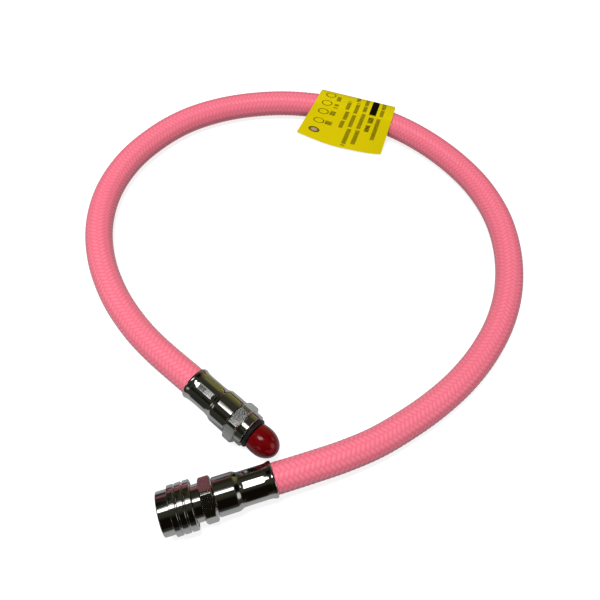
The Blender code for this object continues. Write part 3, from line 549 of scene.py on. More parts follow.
def turned(name, profile, steps=TURN_STEPS, closed=True):
    """A piece turned about Z from (station, radius) points: its section is extruded point by point
    and spun one full turn. The points run down the outer side and back up the bore."""
    points = list(profile) + ([profile[0]] if closed else [])
    piece = start_point(name, *points[0])
    for (station, radius), (next_station, next_radius) in zip(points, points[1:]):
        move = ((next_radius - radius) * MM, 0.0, (next_station - station) * MM)
        bpy.ops.mesh.extrude_vertices_move(TRANSFORM_OT_translate={"value": move})
    merge_doubles()
    bpy.ops.mesh.spin(steps=steps, angle=math.tau, center=(0.0, 0.0, 0.0), axis=UP)
    merge_doubles()
    bpy.ops.mesh.normals_make_consistent(inside=False)
    leave_edit()
    return piece


def soften(piece, width):
    """Breaks the piece's sharp edges."""
    bevel = piece.modifiers.new("soft_edges", "BEVEL")
    bevel.width = width * MM
    bevel.segments = 2
    bevel.limit_method = "ANGLE"
    bevel.angle_limit = math.radians(SMOOTH_ANGLE + 4.0)
    bevel.use_clamp_overlap = True
    apply_modifiers(piece)


def cut_away(piece, tool):
    """Takes the tool's shape out of the piece, and the tool away."""
    cut = piece.modifiers.new("cut", "BOOLEAN")
    cut.operation = "DIFFERENCE"
    cut.object = tool
    apply_modifiers(piece)
    bpy.data.objects.remove(tool, do_unlink=True)


def saw(piece, place, size):
    """Saws a slot with square walls, size in millimetres."""
    blade = added("blade", bpy.ops.mesh.primitive_cube_add, Vector(place) * MM, size=MM)
    blade.scale = size
    cut_away(piece, blade)


def wind(section, rise, turns, steps_each_turn):
    """Winds an open section into a thread or a spring."""
    screw = section.modifiers.new("wind", "SCREW")
    screw.angle = math.tau * turns
    screw.screw_offset = rise * MM
    screw.steps = int(turns * steps_each_turn)
    screw.render_steps = screw.steps
    apply_modifiers(section)


def close_ends(piece):
    """Fills the two open ends of what was wound."""
    edit(piece)
    bpy.ops.mesh.select_all(action="DESELECT")
    bpy.ops.mesh.select_non_manifold(extend=False)
    bpy.ops.mesh.edge_face_add()
    face_outwards(piece)


def finish_piece(piece, place, finish, node=None, body=ROOT, edge=None):
    """Breaks the piece's edges, notes each point's station, moves the piece to its fitting and hands
    it to its body."""
    if edge:
        soften(piece, edge)
    material, slot = finish
    layer = piece.data.attributes.new("station", "FLOAT", "POINT")
    for value, vertex in zip(layer.data, piece.data.vertices):
        value.value = vertex.co.z / MM
    piece.data.transform(place)
    piece.data.materials.clear()
    piece.data.materials.append(material)
    only(piece)
    bpy.ops.object.shade_smooth_by_angle(angle=math.radians(SMOOTH_ANGLE))
    weights = piece.modifiers.new("face_weights", "WEIGHTED_NORMAL")
    weights.keep_sharp = True
    apply_modifiers(piece)
    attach(piece, body)
    if node:
        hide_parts(node)


def dull_flats(piece, place, material):
    """Gives the hexagon's milled flats their own finish."""
    piece.data.materials.append(material)
    home = place.inverted()
    for face in piece.data.polygons:
        centre = home @ face.center
        if HEX_START < centre.z / MM < HEX_END and from_axis(centre) > HEX_FLATS_FROM:
            face.material_index = 1


def eased(share):
    return (1 - math.cos(math.pi * share)) / 2


def trumpet(share):
    return share ** 2


def curve(start, end, steps, rise):
    """Points from one (station, radius) to another, without the first, as rise turns a share of the
    way into a share of the radius's change."""
    points = []
    for index in range(1, steps + 1):
        share = index / steps
        points.append((start[0] + (end[0] - start[0]) * share, start[1] + (end[1] - start[1]) * rise(share)))
    return points


def press_flats(piece, turn):
    """The die's flats round the ferrule's neck, with a short run-out at both ends."""
    sector = math.tau / CRIMP_FLAT_COUNT
    for vertex in piece.data.vertices:
        station, radius = vertex.co.z / MM, from_axis(vertex.co)
        if radius < CRIMP_OUTER_FROM or not CRIMP_START < station < CRIMP_END:
            continue
        edge = min(1.0, min(station - CRIMP_START, CRIMP_END - station) / CRIMP_RUN_OUT)
        grip = edge ** 2 * (3 - 2 * edge)
        angle = math.atan2(vertex.co.y, vertex.co.x)
        off_flat = (angle - turn + sector / 2) % sector - sector / 2
        flat_radius = min(radius, CRIMP_APOTHEM / math.cos(off_flat))
        spread(vertex, 1 + (flat_radius / radius - 1) * grip)


def make_ferrule(name, place, crimp_turn):
    """A pressed sleeve: round barrel, necked-in stretch with the die's flats, and a flared lip."""
    inner_barrel = BARREL_RADIUS - BARREL_WALL
    outer = [
        (FERRULE_LENGTH, BARREL_RADIUS - 0.35), (FERRULE_LENGTH - 0.35, BARREL_RADIUS),
        (BARREL_START, BARREL_RADIUS),
        *curve((BARREL_START, BARREL_RADIUS), (NECK_END, NECK_RADIUS), 8, eased),
        *((station, NECK_RADIUS) for station in np.arange(11.2, CRIMP_START, -0.3)),
        *curve((CRIMP_START, NECK_RADIUS), (0.9, FLARE_RADIUS), 7, trumpet),
        (0.35, FLARE_RADIUS - 0.03), (0.12, FLARE_RADIUS - 0.14), (0.0, FLARE_RADIUS - 0.3),
    ]
    inner = [
        (0.05, 5.85), (0.4, 5.75), (2.8, NECK_HOLE_RADIUS), (NECK_END, NECK_HOLE_RADIUS),
        (BARREL_START, inner_barrel), (FERRULE_INNER_END, inner_barrel),
        (FERRULE_INNER_END, FERRULE_HOLE_RADIUS), (FERRULE_LENGTH, FERRULE_HOLE_RADIUS),
    ]
    ferrule = turned(name + "_shell", outer + inner)
    press_flats(ferrule, math.radians(crimp_turn))
    finish_piece(ferrule, place, CHROME, name, edge=0.08)


def hexagon_and_tail():
    """Down from the hexagon's free face: the hexagon's blank, the ferrule's groove, the stop collar
    and the barbed tail."""
    profile = [
        (HEX_END, HEX_FACE_RADIUS), (HEX_END - HEX_CHAMFER, HEX_CORNER_RADIUS),
        (HEX_START + HEX_CHAMFER, HEX_CORNER_RADIUS), (HEX_START, HEX_FACE_RADIUS),
        (HEX_START, GROOVE_RADIUS), (STOP_END, GROOVE_RADIUS), (STOP_END, STOP_RADIUS),
        (STOP_START, STOP_RADIUS), (STOP_START, TAIL_RADIUS),
    ]
    for index in range(BARB_COUNT):
        foot = TAIL_START + (BARB_COUNT - index) * BARB_LENGTH
        profile += [(foot, TAIL_RADIUS), (foot, BARB_RADIUS)]
    return profile + [(TAIL_START, TAIL_RADIUS - 0.1), (TAIL_START, TAIL_BORE_RADIUS)]


def mill_hexagon(piece, turn):
    """Cuts the six flats. Nothing else on the piece stands out as far as they do."""
    edit(piece)
    for index in range(6):
        outward = spoke(turn + math.tau * index / 6)
        bpy.ops.mesh.select_all(action="SELECT")
        bpy.ops.mesh.bisect(
            plane_co=outward * HEX_APOTHEM * MM, plane_no=outward,
            use_fill=True, clear_outer=True, threshold=0.0000001)
    leave_edit()


def make_adapter_stem():
    """Spigot with its thread's core, O-ring relief, collar, hexagon and tail in one piece."""
    outer = [
        (34.3, 3.35), (33.8, 3.85), (29.95, 3.85), (29.9, 3.95), (27.55, 3.95), (27.55, 5.85),
        (27.7, 5.85), (27.7, 6.2), (27.5, 6.4), (25.1, 6.4), (24.9, 6.3), (HEX_END, 6.3),
    ]
    stem = turned("screw_fitting", outer + hexagon_and_tail() + [(34.0, TAIL_BORE_RADIUS), (34.3, 2.2)])
    mill_hexagon(stem, 0.0)
    finish_piece(stem, ADAPTER, CHROME, "adapter_stem", edge=0.1)
    dull_flats(stem, ADAPTER, milled_flats)


def make_thread():
    """The rolled thread on the spigot: one tapering ridge wound round the core."""
    pitch, turns, start, root, crest = 1.06, 3.6, 30.15, 3.8, 4.35
    ridge = added(
        "spigot_thread", bpy.ops.mesh.primitive_circle_add,
        vertices=4, radius=0.5 * MM, fill_type="NOTHING")
    corners = ((root, -0.5), (crest, -0.09), (crest, 0.09), (root, 0.5))
    for vertex, (radius, side) in zip(ridge.data.vertices, corners):
        vertex.co = (radius * MM, 0.0, side * pitch * MM)
    wind(ridge, pitch * turns, turns, TURN_STEPS)
    for vertex in ridge.data.vertices:
        winding = vertex.co.z / MM / pitch
        radius = from_axis(vertex.co)
        fade = max(0.0, min(1.0, (winding + 0.3) / 0.35, (turns - winding + 0.1) / 0.35))
        if radius > root + 0.1:
            spread(vertex, (root - 0.05 + (radius - root + 0.05) * fade) / radius)
        vertex.co.z += start * MM
    close_ends(ridge)
    finish_piece(ridge, ADAPTER, CHROME)


def make_ring(name, mean_radius, section_radius, station, place, node):
    """An O-ring with its moulding line."""
    ring = added(
        name, bpy.ops.mesh.primitive_torus_add, (0.0, 0.0, station * MM),
        major_radius=mean_radius * MM, minor_radius=section_radius * MM,
        major_segments=TURN_STEPS, minor_segments=20)
    bpy.ops.object.transform_apply(location=True, rotation=True, scale=True)
    for vertex in ring.data.vertices:
        out = from_axis(vertex.co)
        if abs(vertex.co.z / MM - station) < 0.01 and out > mean_radius:
            spread(vertex, 1 - 0.02 / out)
    finish_piece(ring, place, RUBBER, node)


def dome(tip, widest, radius, steps):
    """A quarter ellipse from the tip on the axis down to the widest ring."""
    points = []
    for index in range(steps + 1):
        angle = math.pi / 2 * index / steps
        points.append((widest + (tip - widest) * math.cos(angle), radius * math.sin(angle)))
    return points


def make_cap():
    """The dipped cap: a soft dome, a slack skirt and a rounded rim, all a little wavy."""
    start, widest, tip, radius, bore, wobble = 29.65, 32.7, 39.6, 5.25, 4.65, 0.04
    outer = dome(tip, widest, radius, 22)
    outer += [(31.9, radius), (31.3, 5.2), (30.6, 5.1), (30.05, 5.06), (29.8, 5.02), (start, 4.9)]
    inner = [(start, 4.72), (29.85, bore), *reversed(dome(tip - 1.2, widest, bore, 12))]
    cap = turned("dipped_cap", outer + inner, closed=False)
    for vertex in cap.data.vertices:
        angle = math.atan2(vertex.co.y, vertex.co.x)
        station = vertex.co.z / MM
        wave = 1 + math.sin(3 * angle + 0.5 * station) * math.cos(0.9 * station)
        spread(vertex, 1 - wobble / radius * wave / 2)
    finish_piece(cap, ADAPTER, VINYL, "thread_cap", "cap")


def from_mouth(distance):
    """The station that lies a distance behind the coupler's mouth."""
    return COUPLER_LENGTH - distance


def stations(*points):
    """(distance from the mouth, radius) points as (station, radius) points."""
    return [(from_mouth(distance), radius) for distance, radius in points]


def drill_ball_holes(body):
    """Tapered holes for the locking balls."""
    for index in range(BALL_COUNT):
        outward = spoke(math.tau * index / BALL_COUNT)
        drill = added(
            "drill", bpy.ops.mesh.primitive_cone_add,
            (outward * 5.15 + UP * from_mouth(BALLS_FROM_MOUTH)) * MM,
            vertices=40, radius1=0.52 * MM, radius2=1.5 * MM, depth=3.1 * MM,
            rotation=outward.to_track_quat("Z", "Y").to_euler())
        cut_away(body, drill)


def make_coupler_body():
    """Socket with its seal's groove, ball holes, valve bore, hexagon and tail in one piece."""
    outer = stations(
        (0.3, 5.5), (0.5, BODY_RADIUS), (0.8, BODY_RADIUS), (0.8, BODY_GROOVE_RADIUS),
        (2.0, BODY_GROOVE_RADIUS), (2.0, BODY_RADIUS), (11.3, BODY_RADIUS), (11.3, 6.1), (11.4, 6.2))
    outer += [(HEX_END, 6.2)]
    inner = stations(
        (19.9, TAIL_BORE_RADIUS), (19.9, VALVE_BORE_RADIUS), (10.2, VALVE_BORE_RADIUS),
        (10.2, SOCKET_RADIUS), (9.9, SOCKET_RADIUS), (9.9, 5.2), (8.2, 5.2), (8.2, SOCKET_RADIUS),
        (0.65, SOCKET_RADIUS), (0.3, 4.95))
    body = turned("coupler_core", outer + hexagon_and_tail() + inner)
    mill_hexagon(body, math.radians(COUPLER_HEX_TURN))
    drill_ball_holes(body)
    finish_piece(body, COUPLER, CHROME, "coupler_body", edge=0.06)
    dull_flats(body, COUPLER, fine_flats)


def make_release_sleeve():
    """The sliding sleeve: plain front, step, and three ribs parted by narrow rounded grooves."""
    front, rib, groove, bore, land = 7.41, 8.35, 7.9, 6.8, 6.0
    outer = [(0.0, front - 0.35), (0.1, front - 0.12), (0.35, front), (3.9, front)]
    for begin in (3.9, 6.48, 9.07):
        end = begin + 2.13
        outer += [
            (begin, rib - 0.25), (begin + 0.08, rib - 0.08), (begin + 0.25, rib),
            (end - 0.25, rib), (end - 0.08, rib - 0.08), (end, rib - 0.25),
            (end + 0.03, groove), (end + 0.42, groove),
        ]
    inner = [
        (11.2, 7.3), (6.85, 7.3), (6.85, land), (6.65, land), (3.3, 6.84), (2.5, 6.84),
        (2.5, land), (2.0, land), (2.0, bore), (0.0, bore),
    ]
    sleeve = turned("grip_sleeve", stations(*outer[:-2], *inner))
    finish_piece(sleeve, COUPLER, CHROME, "release_sleeve", "sleeve", edge=0.05)


def turned_ring(name, start, end, inner, outer):
    """A flat ring between two distances from the mouth."""
    return turned(name, stations((start, outer), (end, outer), (end, inner), (start, inner)))


def make_rings():
    """The split ring that keeps the sleeve on the body, and the washer behind its spring."""
    snap_ring = turned_ring("retaining_ring", 1.1, 1.7, 5.5, 6.5)
    saw(snap_ring, (-6.0, 0.0, from_mouth(1.4)), (4.0, 3.0, 3.0))
    finish_piece(snap_ring, COUPLER, STEEL, "sleeve_snap_ring", edge=0.05)
    washer = turned_ring("rear_washer", 10.55, 11.0, 6.0, 7.0)
    finish_piece(washer, COUPLER, STEEL, "spring_washer", edge=0.05)


def make_spring(name, radius, wire, start, end, turns, node):
    """A round-wire spring wound from a small circle."""
    spring = added(
        name, bpy.ops.mesh.primitive_circle_add,
        (radius * MM, 0.0, (from_mouth(start) + wire / 2) * MM),
        vertices=16, radius=wire / 2 * MM, fill_type="NOTHING", rotation=(math.pi / 2, 0.0, 0.0))
    bpy.ops.object.transform_apply(location=True, rotation=True, scale=True)
    wind(spring, abs(end - start) - wire, turns, SMALL_TURN_STEPS)
    close_ends(spring)
    finish_piece(spring, COUPLER, STEEL, node)
    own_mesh(spring)


def make_balls():
    for index in range(BALL_COUNT):
        number, outward = index + 1, spoke(math.tau * index / BALL_COUNT)
        ball = added(
            "steel_ball_%d" % number, bpy.ops.mesh.primitive_uv_sphere_add,
            (outward * BALL_CIRCLE + UP * from_mouth(BALLS_FROM_MOUTH)) * MM,
            segments=40, ring_count=20, radius=BALL_RADIUS * MM)
        bpy.ops.object.transform_apply(location=True, rotation=True, scale=True)
        finish_piece(ball, COUPLER, STEEL, "lock_ball_%d" % number, "ball_%d" % number)


def make_valve():
    """The self-closing valve behind the socket: slotted core, pin with its head, and the seal."""
    core = turned("valve_seat_core", stations(
        (10.5, 2.4), (10.7, 2.6), (16.4, 2.6), (16.4, 1.2), (15.5, 1.2), (15.5, 1.95), (11.3, 1.95),
        (11.3, 0.9), (10.5, 0.9)), SMALL_TURN_STEPS)
    saw(core, (0.0, 0.0, from_mouth(10.5)), (8.0, 0.9, 1.0))
    finish_piece(core, COUPLER, BRASS, "valve_core", edge=0.04)
    pin = turned("valve_push_pin", stations(
        (7.0, 0.0), (7.0, 0.38), (7.08, 0.53), (7.25, 0.6), (11.6, 0.6), (11.6, 1.6), (12.0, 1.6),
        (12.0, 0.6), (17.5, 0.6), (17.5, 2.1), (18.0, 2.1), (18.2, 1.9), (18.2, 0.0)),
        SMALL_TURN_STEPS, closed=False)
    finish_piece(pin, COUPLER, BRASS, "valve_pin", "valve", edge=0.04)
    washer = turned_ring("valve_washer", 16.7, 17.2, 0.9, 1.95)
    finish_piece(washer, COUPLER, RUBBER, "valve_seal", "valve", edge=0.05)


def make_coupler():
    make_ferrule("coupler_ferrule", COUPLER, -1.0)
    make_coupler_body()
    make_release_sleeve()
    make_rings()
    make_spring("sleeve_coil", 6.5, 0.45, 10.25, 7.15, 2.25, "sleeve_spring")
    make_spring("valve_coil", 1.275, 0.38, 15.2, 12.3, 3.5, "valve_spring")
    make_balls()
    make_ring("socket_o_ring", 4.35, 0.55, from_mouth(9.05), COUPLER, "nipple_o_ring")
    make_valve()


def make_adapter():
    make_ferrule("adapter_ferrule", ADAPTER, 8.0)
    make_adapter_stem()
    make_thread()
    make_ring("port_o_ring", 5.0, 0.75, 28.6, ADAPTER, "adapter_o_ring")
    make_cap()


def through(points, index, share):
    """A point of the smooth curve between two route points, by the Catmull-Rom rule."""
    before, start, end, after = points[index - 1:index + 3]
    bend = 2 * before - 5 * start + 4 * end - after
    twist = 3 * start - before - 3 * end + after
    return (2 * start + (end - before) * share + bend * share ** 2 + twist * share ** 3) / 2


def hose_line():
    """The hose's centreline from its end in the screw fitting's ferrule to its end in the coupler's,
    in millimetres."""
    adapter_way, coupler_way = (spoke(math.radians(turn)) for turn in (ADAPTER_HEADING, COUPLER_HEADING))
    points = [ADAPTER_MOUTH + adapter_way * ROUTE_LEAD, ADAPTER_MOUTH]
    points += [Vector(point) for point in HOSE_ROUTE]
    points += [COUPLER_MOUTH, COUPLER_MOUTH + coupler_way * ROUTE_LEAD]
    line = [ADAPTER_MOUTH + adapter_way * HOSE_END]
    for index in range(1, len(points) - 2):
        line += [through(points, index, step / ROUTE_STEPS) for step in range(ROUTE_STEPS)]
    line += [COUPLER_MOUTH, COUPLER_MOUTH + coupler_way * HOSE_END]
    return np.array(line, float)


def along_line(line):
    """The distance of each point of a line from the line's start."""
    return np.concatenate([[0.0], np.cumsum(np.linalg.norm(np.diff(line, axis=0), axis=1))])


def at_distances(line, distances):
    """The line's points at distances from its start."""
    travelled = along_line(line)
    return np.stack([np.interp(distances, travelled, line[:, axis]) for axis in range(3)], axis=1)


def side_axes(centres):
    """For each centre, the unit vectors across the line: level and up."""
    tangents = np.gradient(centres, axis=0)
    tangents /= np.linalg.norm(tangents, axis=1)[:, None]
    level = np.cross(np.array(UP), tangents)
    level /= np.linalg.norm(level, axis=1)[:, None]
    return level, np.cross(tangents, level)


def braid_relief(around, along):
    """The braid's height from 0 to 1 where a bundle's crown is. One unit of either lay is a bundle."""
    lays = np.array([around + along, around - along])
    rows = np.floor(lays + 1e-6)
    phase = np.mod(rows[0] + rows[1], 4)
    across = lays - rows - 0.5
    ways = (across[1] + phase - 0.5, across[0] + phase - 2.5)
    heights = [
        (1 - BUNDLE_FALL * side ** 2) * (1 - CROWN_FALL * way ** 2) for side, way in zip(across, ways)]
    return np.clip(np.where(phase < 1.5, *heights), 0.0, 1.0)


def hose_radius(distance, length):
    """The hose's crown radius: squeezed inside the ferrules, full from their mouths on."""
    inside = HOSE_END - np.minimum(distance, length - distance)
    return np.interp(inside, [HOSE_FULL_FROM, HOSE_SQUEEZED_FROM], [HOSE_RADIUS, HOSE_CRIMPED_RADIUS])


def make_hose():
    """The hose as one closed tube with its bore. Rings lie a fifth of a bundle apart, so that the
    grid's corners fall on the braid's edges."""
    line = hose_line()
    length = along_line(line)[-1]
    rings = round(length / BRAID_PITCH * STEPS_PER_CELL)
    sides = STRANDS_EACH_WAY * STEPS_PER_CELL
    distances = np.linspace(0.0, length, rings + 1)
    centres = at_distances(line, distances)
    level, upward = side_axes(centres)
    turn = np.arange(sides) / STEPS_PER_CELL
    angles = math.tau * turn / STRANDS_EACH_WAY
    cells = np.arange(rings + 1) / STEPS_PER_CELL
    relief = braid_relief(turn[None, :], cells[:, None])
    radii = hose_radius(distances, length)[:, None] - BRAID_DEPTH * (1 - relief)
    spokes = level[:, None] * np.cos(angles)[None, :, None] + upward[:, None] * np.sin(angles)[None, :, None]
    outer = centres[:, None] + spokes * radii[:, :, None]
    bore_rows = np.linspace(0, rings, rings // RINGS_PER_BORE_RING + 1).round().astype(int)
    bore = centres[bore_rows][::-1, None] + spokes[bore_rows][::-1] * HOSE_BORE_RADIUS
    rows = np.concatenate([outer, bore])
    count = len(rows)
    row, side = np.meshgrid(np.arange(count), np.arange(sides), indexing="ij")
    next_row, next_side = (row + 1) % count, (side + 1) % sides
    corners = ((row, side), (next_row, side), (next_row, next_side), (row, next_side))
    faces = np.stack([ring * sides + spot for ring, spot in corners], axis=-1).reshape(-1, 4)
    mesh = bpy.data.meshes.new("braided_hose")
    mesh.from_pydata((rows.reshape(-1, 3) * MM).tolist(), [], faces.tolist())
    hose = linked("braided_hose", mesh)
    map_braid(mesh, sides, rings)
    mesh.materials.append(pink_braid())
    mesh.materials.append(plain_rubber())
    in_bore = (row >= rings).reshape(-1)
    mesh.polygons.foreach_set("material_index", in_bore.astype(np.int32))
    face_outwards(hose)
    mesh.shade_smooth()
    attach(hose, ROOT)
    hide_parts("hose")
    return hose, [tuple(point * MM) for point in centres], length


def map_braid(mesh, sides, rings):
    """Writes each face corner's braid coordinates: bundles round the hose and cells along it."""
    layer = mesh.uv_layers.new(name="braid")
    corner_vertices = np.zeros(len(mesh.loops), np.int32)
    mesh.loops.foreach_get("vertex_index", corner_vertices)
    row, side = corner_vertices // sides, corner_vertices % sides
    turn = side / STEPS_PER_CELL
    by_face = turn.reshape(-1, 4)
    wraps = by_face.max(axis=1) - by_face.min(axis=1) > STRANDS_EACH_WAY / 2
    turn = np.where(wraps[:, None] & (by_face < 1), by_face + STRANDS_EACH_WAY, by_face).reshape(-1)
    cells = np.minimum(row, rings) / STEPS_PER_CELL
    layer.data.foreach_set("uv", np.stack([turn, cells], axis=1).astype(np.float32).ravel())


def tag_section(share):
    """A point of the strip's section at a share of its way: from the upper leaf's free edge over the
    hose, round it and back along the floor. Gives (towards the loop's inside, height), centred on
    the hose."""
    radius = TAG_WRAP_RADIUS
    if share < TAG_UPPER_SHARE:
        step = share / TAG_UPPER_SHARE
        drop = 1 - step
        fall = min(1.0, drop ** TAG_DROOP + TAG_SAG * math.sin(math.pi * drop))
        return TAG_REACH + (TAG_FLAT - TAG_REACH) * step, radius + (TAG_LEAF_STEP - 2 * radius) * fall
    if share < TAG_FOLD_SHARE:
        step = (share - TAG_UPPER_SHARE) / (TAG_FOLD_SHARE - TAG_UPPER_SHARE)
        if step < TAG_FLAT_SHARE:
            return TAG_FLAT * (1 - step / TAG_FLAT_SHARE), radius
        angle = math.pi * (step - TAG_FLAT_SHARE) / (1 - TAG_FLAT_SHARE)
        lift = TAG_FOLD_LIFT * math.sin(angle)
        return -TAG_FOLD_REACH * math.sin(angle), radius * math.cos(angle) + lift
    return TAG_LOWER_REACH * (share - TAG_FOLD_SHARE) / (1 - TAG_FOLD_SHARE), -radius


def tag_ends(way):
    """Where the strip starts and ends along the hose, at a way from the upper leaf's free edge."""
    return [float(np.interp(way, TAG_END_WAYS, ends)) for ends in (TAG_LEFT_ENDS, TAG_RIGHT_ENDS)]


def edge_bow(share):
    """How far the upper leaf's free edge falls short of its middle, at a share of its length."""
    if share < TAG_BOW_MIDDLE:
        return TAG_BOW_LEFT * ((TAG_BOW_MIDDLE - share) / TAG_BOW_MIDDLE) ** 2
    return TAG_BOW_RIGHT * ((share - TAG_BOW_MIDDLE) / (1 - TAG_BOW_MIDDLE)) ** 2


def bend_tag(tag, line, ways):
    """Lays the flat grid over the hose: its X runs along the hose and its Y round it."""
    station = HOSE_END + TAG_STATION
    before, middle, after = at_distances(line, [station - 0.5, station, station + 0.5])
    along = Vector((*(after - before)[:2], 0.0)).normalized()
    middle = Vector(middle)
    inward = along.cross(UP)
    for vertex in tag.data.vertices:
        length_share, way_share = (vertex.co.x + 1) / 2, (vertex.co.y + 1) / 2
        across, height = tag_section(way_share)
        start, end = tag_ends(ways[round(way_share * TAG_SECTION_STEPS)])
        upper = max(0.0, (TAG_UPPER_SHARE - way_share) / TAG_UPPER_SHARE)
        across -= edge_bow(length_share) * upper
        height += TAG_WAVE * upper * math.sin(math.tau * length_share + 0.6) ** 2
        place = middle + along * (start + (end - start) * length_share) + inward * across
        vertex.co = Vector((place.x, place.y, middle.z + height)) * MM


def make_tag(line):
    """The printed strip: a fine grid bent over the hose, its upper leaf resting on the lower one."""
    tag = added(
        "label_strip", bpy.ops.mesh.primitive_grid_add,
        x_subdivisions=TAG_LENGTH_STEPS, y_subdivisions=TAG_SECTION_STEPS, size=2.0)
    ways = along_line(np.array([
        tag_section(step / TAG_SECTION_STEPS) for step in range(TAG_SECTION_STEPS + 1)]))
    layer = tag.data.uv_layers[0]
    layer.name = "print"
    for corner, loop in zip(layer.data, tag.data.loops):
        flat = tag.data.vertices[loop.vertex_index].co
        row = round((flat.y + 1) / 2 * TAG_SECTION_STEPS)
        corner.uv = ((flat.x + 1) / 2 * TAG_PRINT_LENGTH, ways[row])
    bend_tag(tag, line, ways)
    wall = tag.modifiers.new("thickness", "SOLIDIFY")
    wall.thickness = TAG_THICKNESS * MM
    wall.offset = 0.0
    apply_modifiers(tag)
    face_outwards(tag)
    tag.data.materials.clear()
    tag.data.materials.append(printed_vinyl())
    only(tag)
    bpy.ops.object.shade_smooth_by_angle(angle=math.radians(TAG_SMOOTH_ANGLE))
    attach(tag, ROOT)
    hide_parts("hose_tag")
    return tag


class Print(Nodes):
    """Plain marks on the strip, placed in millimetres: across from its left edge, way from the free
    edge. Each mark is 1 inside and 0 outside."""

    def __init__(self, material):
        super().__init__(material)
        self.spot = self.parts(self.map("print"))

    def off(self, middle, half):
        """How far a point lies from a middle each way, in shares of the half size."""
        return [
            self.math("ABSOLUTE", self.math("DIVIDE", self.minus(value, at), size))
            for value, at, size in zip(self.spot, middle, half)]

    def block(self, middle, half):
        return self.span(self.larger(*self.off(middle, half)), 0.93, 1.03, 1.0, 0.0)

    def blocks(self, marks):
        return self.over([
            self.block((across, (start + end) / 2), (half, (end - start) / 2))
            for across, half, start, end in marks])

    def oval(self, middle, half):
        """How far out a point lies on an oval, 1 on its rim."""
        squares = [self.math("POWER", value, 2.0) for value in self.off(middle, half)]
        return self.math("SQRT", self.plus(*squares))

    def rim(self, distance, width):
        off = self.math("ABSOLUTE", self.minus(distance, 1.0))
        return self.span(off, width, width * 1.8, 1.0, 0.0)

    def dashes(self, pitch, fill, seed):
        """Uneven short strokes across the strip, all along it."""
        rows = self.math("DIVIDE", self.spot[1], pitch)
        row = self.math("FLOOR", rows)
        chance = self.add("ShaderNodeTexWhiteNoise", noise_dimensions="1D")
        self.link(self.plus(row, seed), chance.inputs["W"])
        stroke = self.math("LESS_THAN", self.minus(rows, row), 0.72)
        return self.times(stroke, self.math("LESS_THAN", chance.outputs["Value"], fill))

    def over(self, marks):
        whole = marks[0]
        for mark in marks[1:]:
            whole = self.larger(whole, mark)
        return whole


def printed_vinyl():
    """Yellow strip with a column of ovals, strokes beside them, rows of dashes and a black block."""
    material, nodes = new_material("yellow_label", (0.68, 0.55, 0.0), 0.6, writer=Print)
    ovals = [nodes.oval((across, way), (OVAL_HALF_WIDTH, half)) for across, way, half in OVALS]
    rims = nodes.over([nodes.rim(oval, 0.08) for oval in ovals])
    dark_rim = nodes.span(ovals[0], 0.98, 1.1, 1.0, 0.0)
    filled = nodes.span(ovals[0], 0.45, 0.8, 1.0, 0.0)
    beside = nodes.times(nodes.blocks(MARKS_BESIDE), nodes.dashes(0.5, 0.85, 3.0))
    rows = nodes.times(nodes.blocks(PRINT_ROWS), nodes.dashes(0.42, 0.92, 11.0))
    bars = nodes.times(nodes.blocks(PRINT_BARS), nodes.dashes(0.6, 0.95, 5.0))
    colour = nodes.mix(nodes.noise(60.0, 3.0), (0.66, 0.53, 0.0), (0.7, 0.57, 0.0))
    for share, ink in (
            (dark_rim, (0.13, 0.1, 0.01)), (filled, (0.45, 0.3, 0.22)),
            (nodes.over([rims, beside, rows]), (0.11, 0.085, 0.002)),
            (nodes.over([bars, nodes.blocks([PRINT_BLOCK])]), (0.004, 0.003, 0.001))):
        colour = nodes.mix(share, colour, ink)
    nodes.set("Base Color", colour)
    nodes.set("Normal", nodes.bump(nodes.noise(300.0, 3.0), 0.05, 0.4))
    nodes.set("Specular IOR Level", 0.15)
    return material


def make_camera():
    data = bpy.data.cameras.new("camera")
    data.lens = CAMERA_LENS
    data.sensor_width = 36.0
    camera = linked("camera", data)
    look = (CAMERA_TARGET - CAMERA_PLACE).normalized()
    turn = look.to_track_quat("-Z", "Y").to_matrix().to_4x4()
    camera.matrix_world = (
        Matrix.Translation(CAMERA_PLACE * MM) @ turn @ Matrix.Rotation(math.radians(CAMERA_ROLL), 4, "Z"))
    data.clip_start = 0.01
    data.clip_end = 20.0
    bpy.context.scene.camera = camera


def make_floor():
    """White for the camera. Metal and gloss see a painted pool of light on it: a glow, bright close by and
    darker further off, with painted shade darkening it between the two fittings."""
    floor = added("floor", bpy.ops.mesh.primitive_plane_add, size=6.0)
    material, nodes = new_material("white_floor", (0.8, 0.8, 0.8), 1.0)
    rays = nodes.add("ShaderNodeLightPath").outputs
    diffuse = nodes.add("ShaderNodeBsdfDiffuse")
    nodes.feed(diffuse.inputs["Color"], FLOOR_COLOUR)
    lit = nodes.add("ShaderNodeAddShader")
    nodes.link(diffuse.outputs[0], lit.inputs[0])
    nodes.link(nodes.glow(WHITE, nodes.times(rays["Is Camera Ray"], FLOOR_GLOW)), lit.inputs[1])
    # Painted light: for metal and gloss the floor glows bright close by and darker further off, and darker
    # between the two fittings as painted shade.
    painted_light_pool = nodes.span(rays["Ray Length"], 0.02, 0.055, 0.42, 0.03, soft=True)
    painted_shade = nodes.span(nodes.distance((0.004, -0.002, 0.0)), 0.008, 0.02, 0.45, 1.0, soft=True)
    mirrored = nodes.larger(rays["Is Glossy Ray"], rays["Is Transmission Ray"])
    nodes.show(nodes.blend(mirrored, lit.outputs[0], nodes.glow(WHITE, nodes.times(painted_light_pool, painted_shade))))
    floor.data.materials.append(material)


def only_for_gloss(piece):
    """Only metal and gloss show the piece, and it lights nothing."""
    piece.data.materials[0].cycles.emission_sampling = "NONE"
    for ray in ("camera", "diffuse", "transmission", "volume_scatter", "shadow"):
        setattr(piece, "visible_" + ray, False)


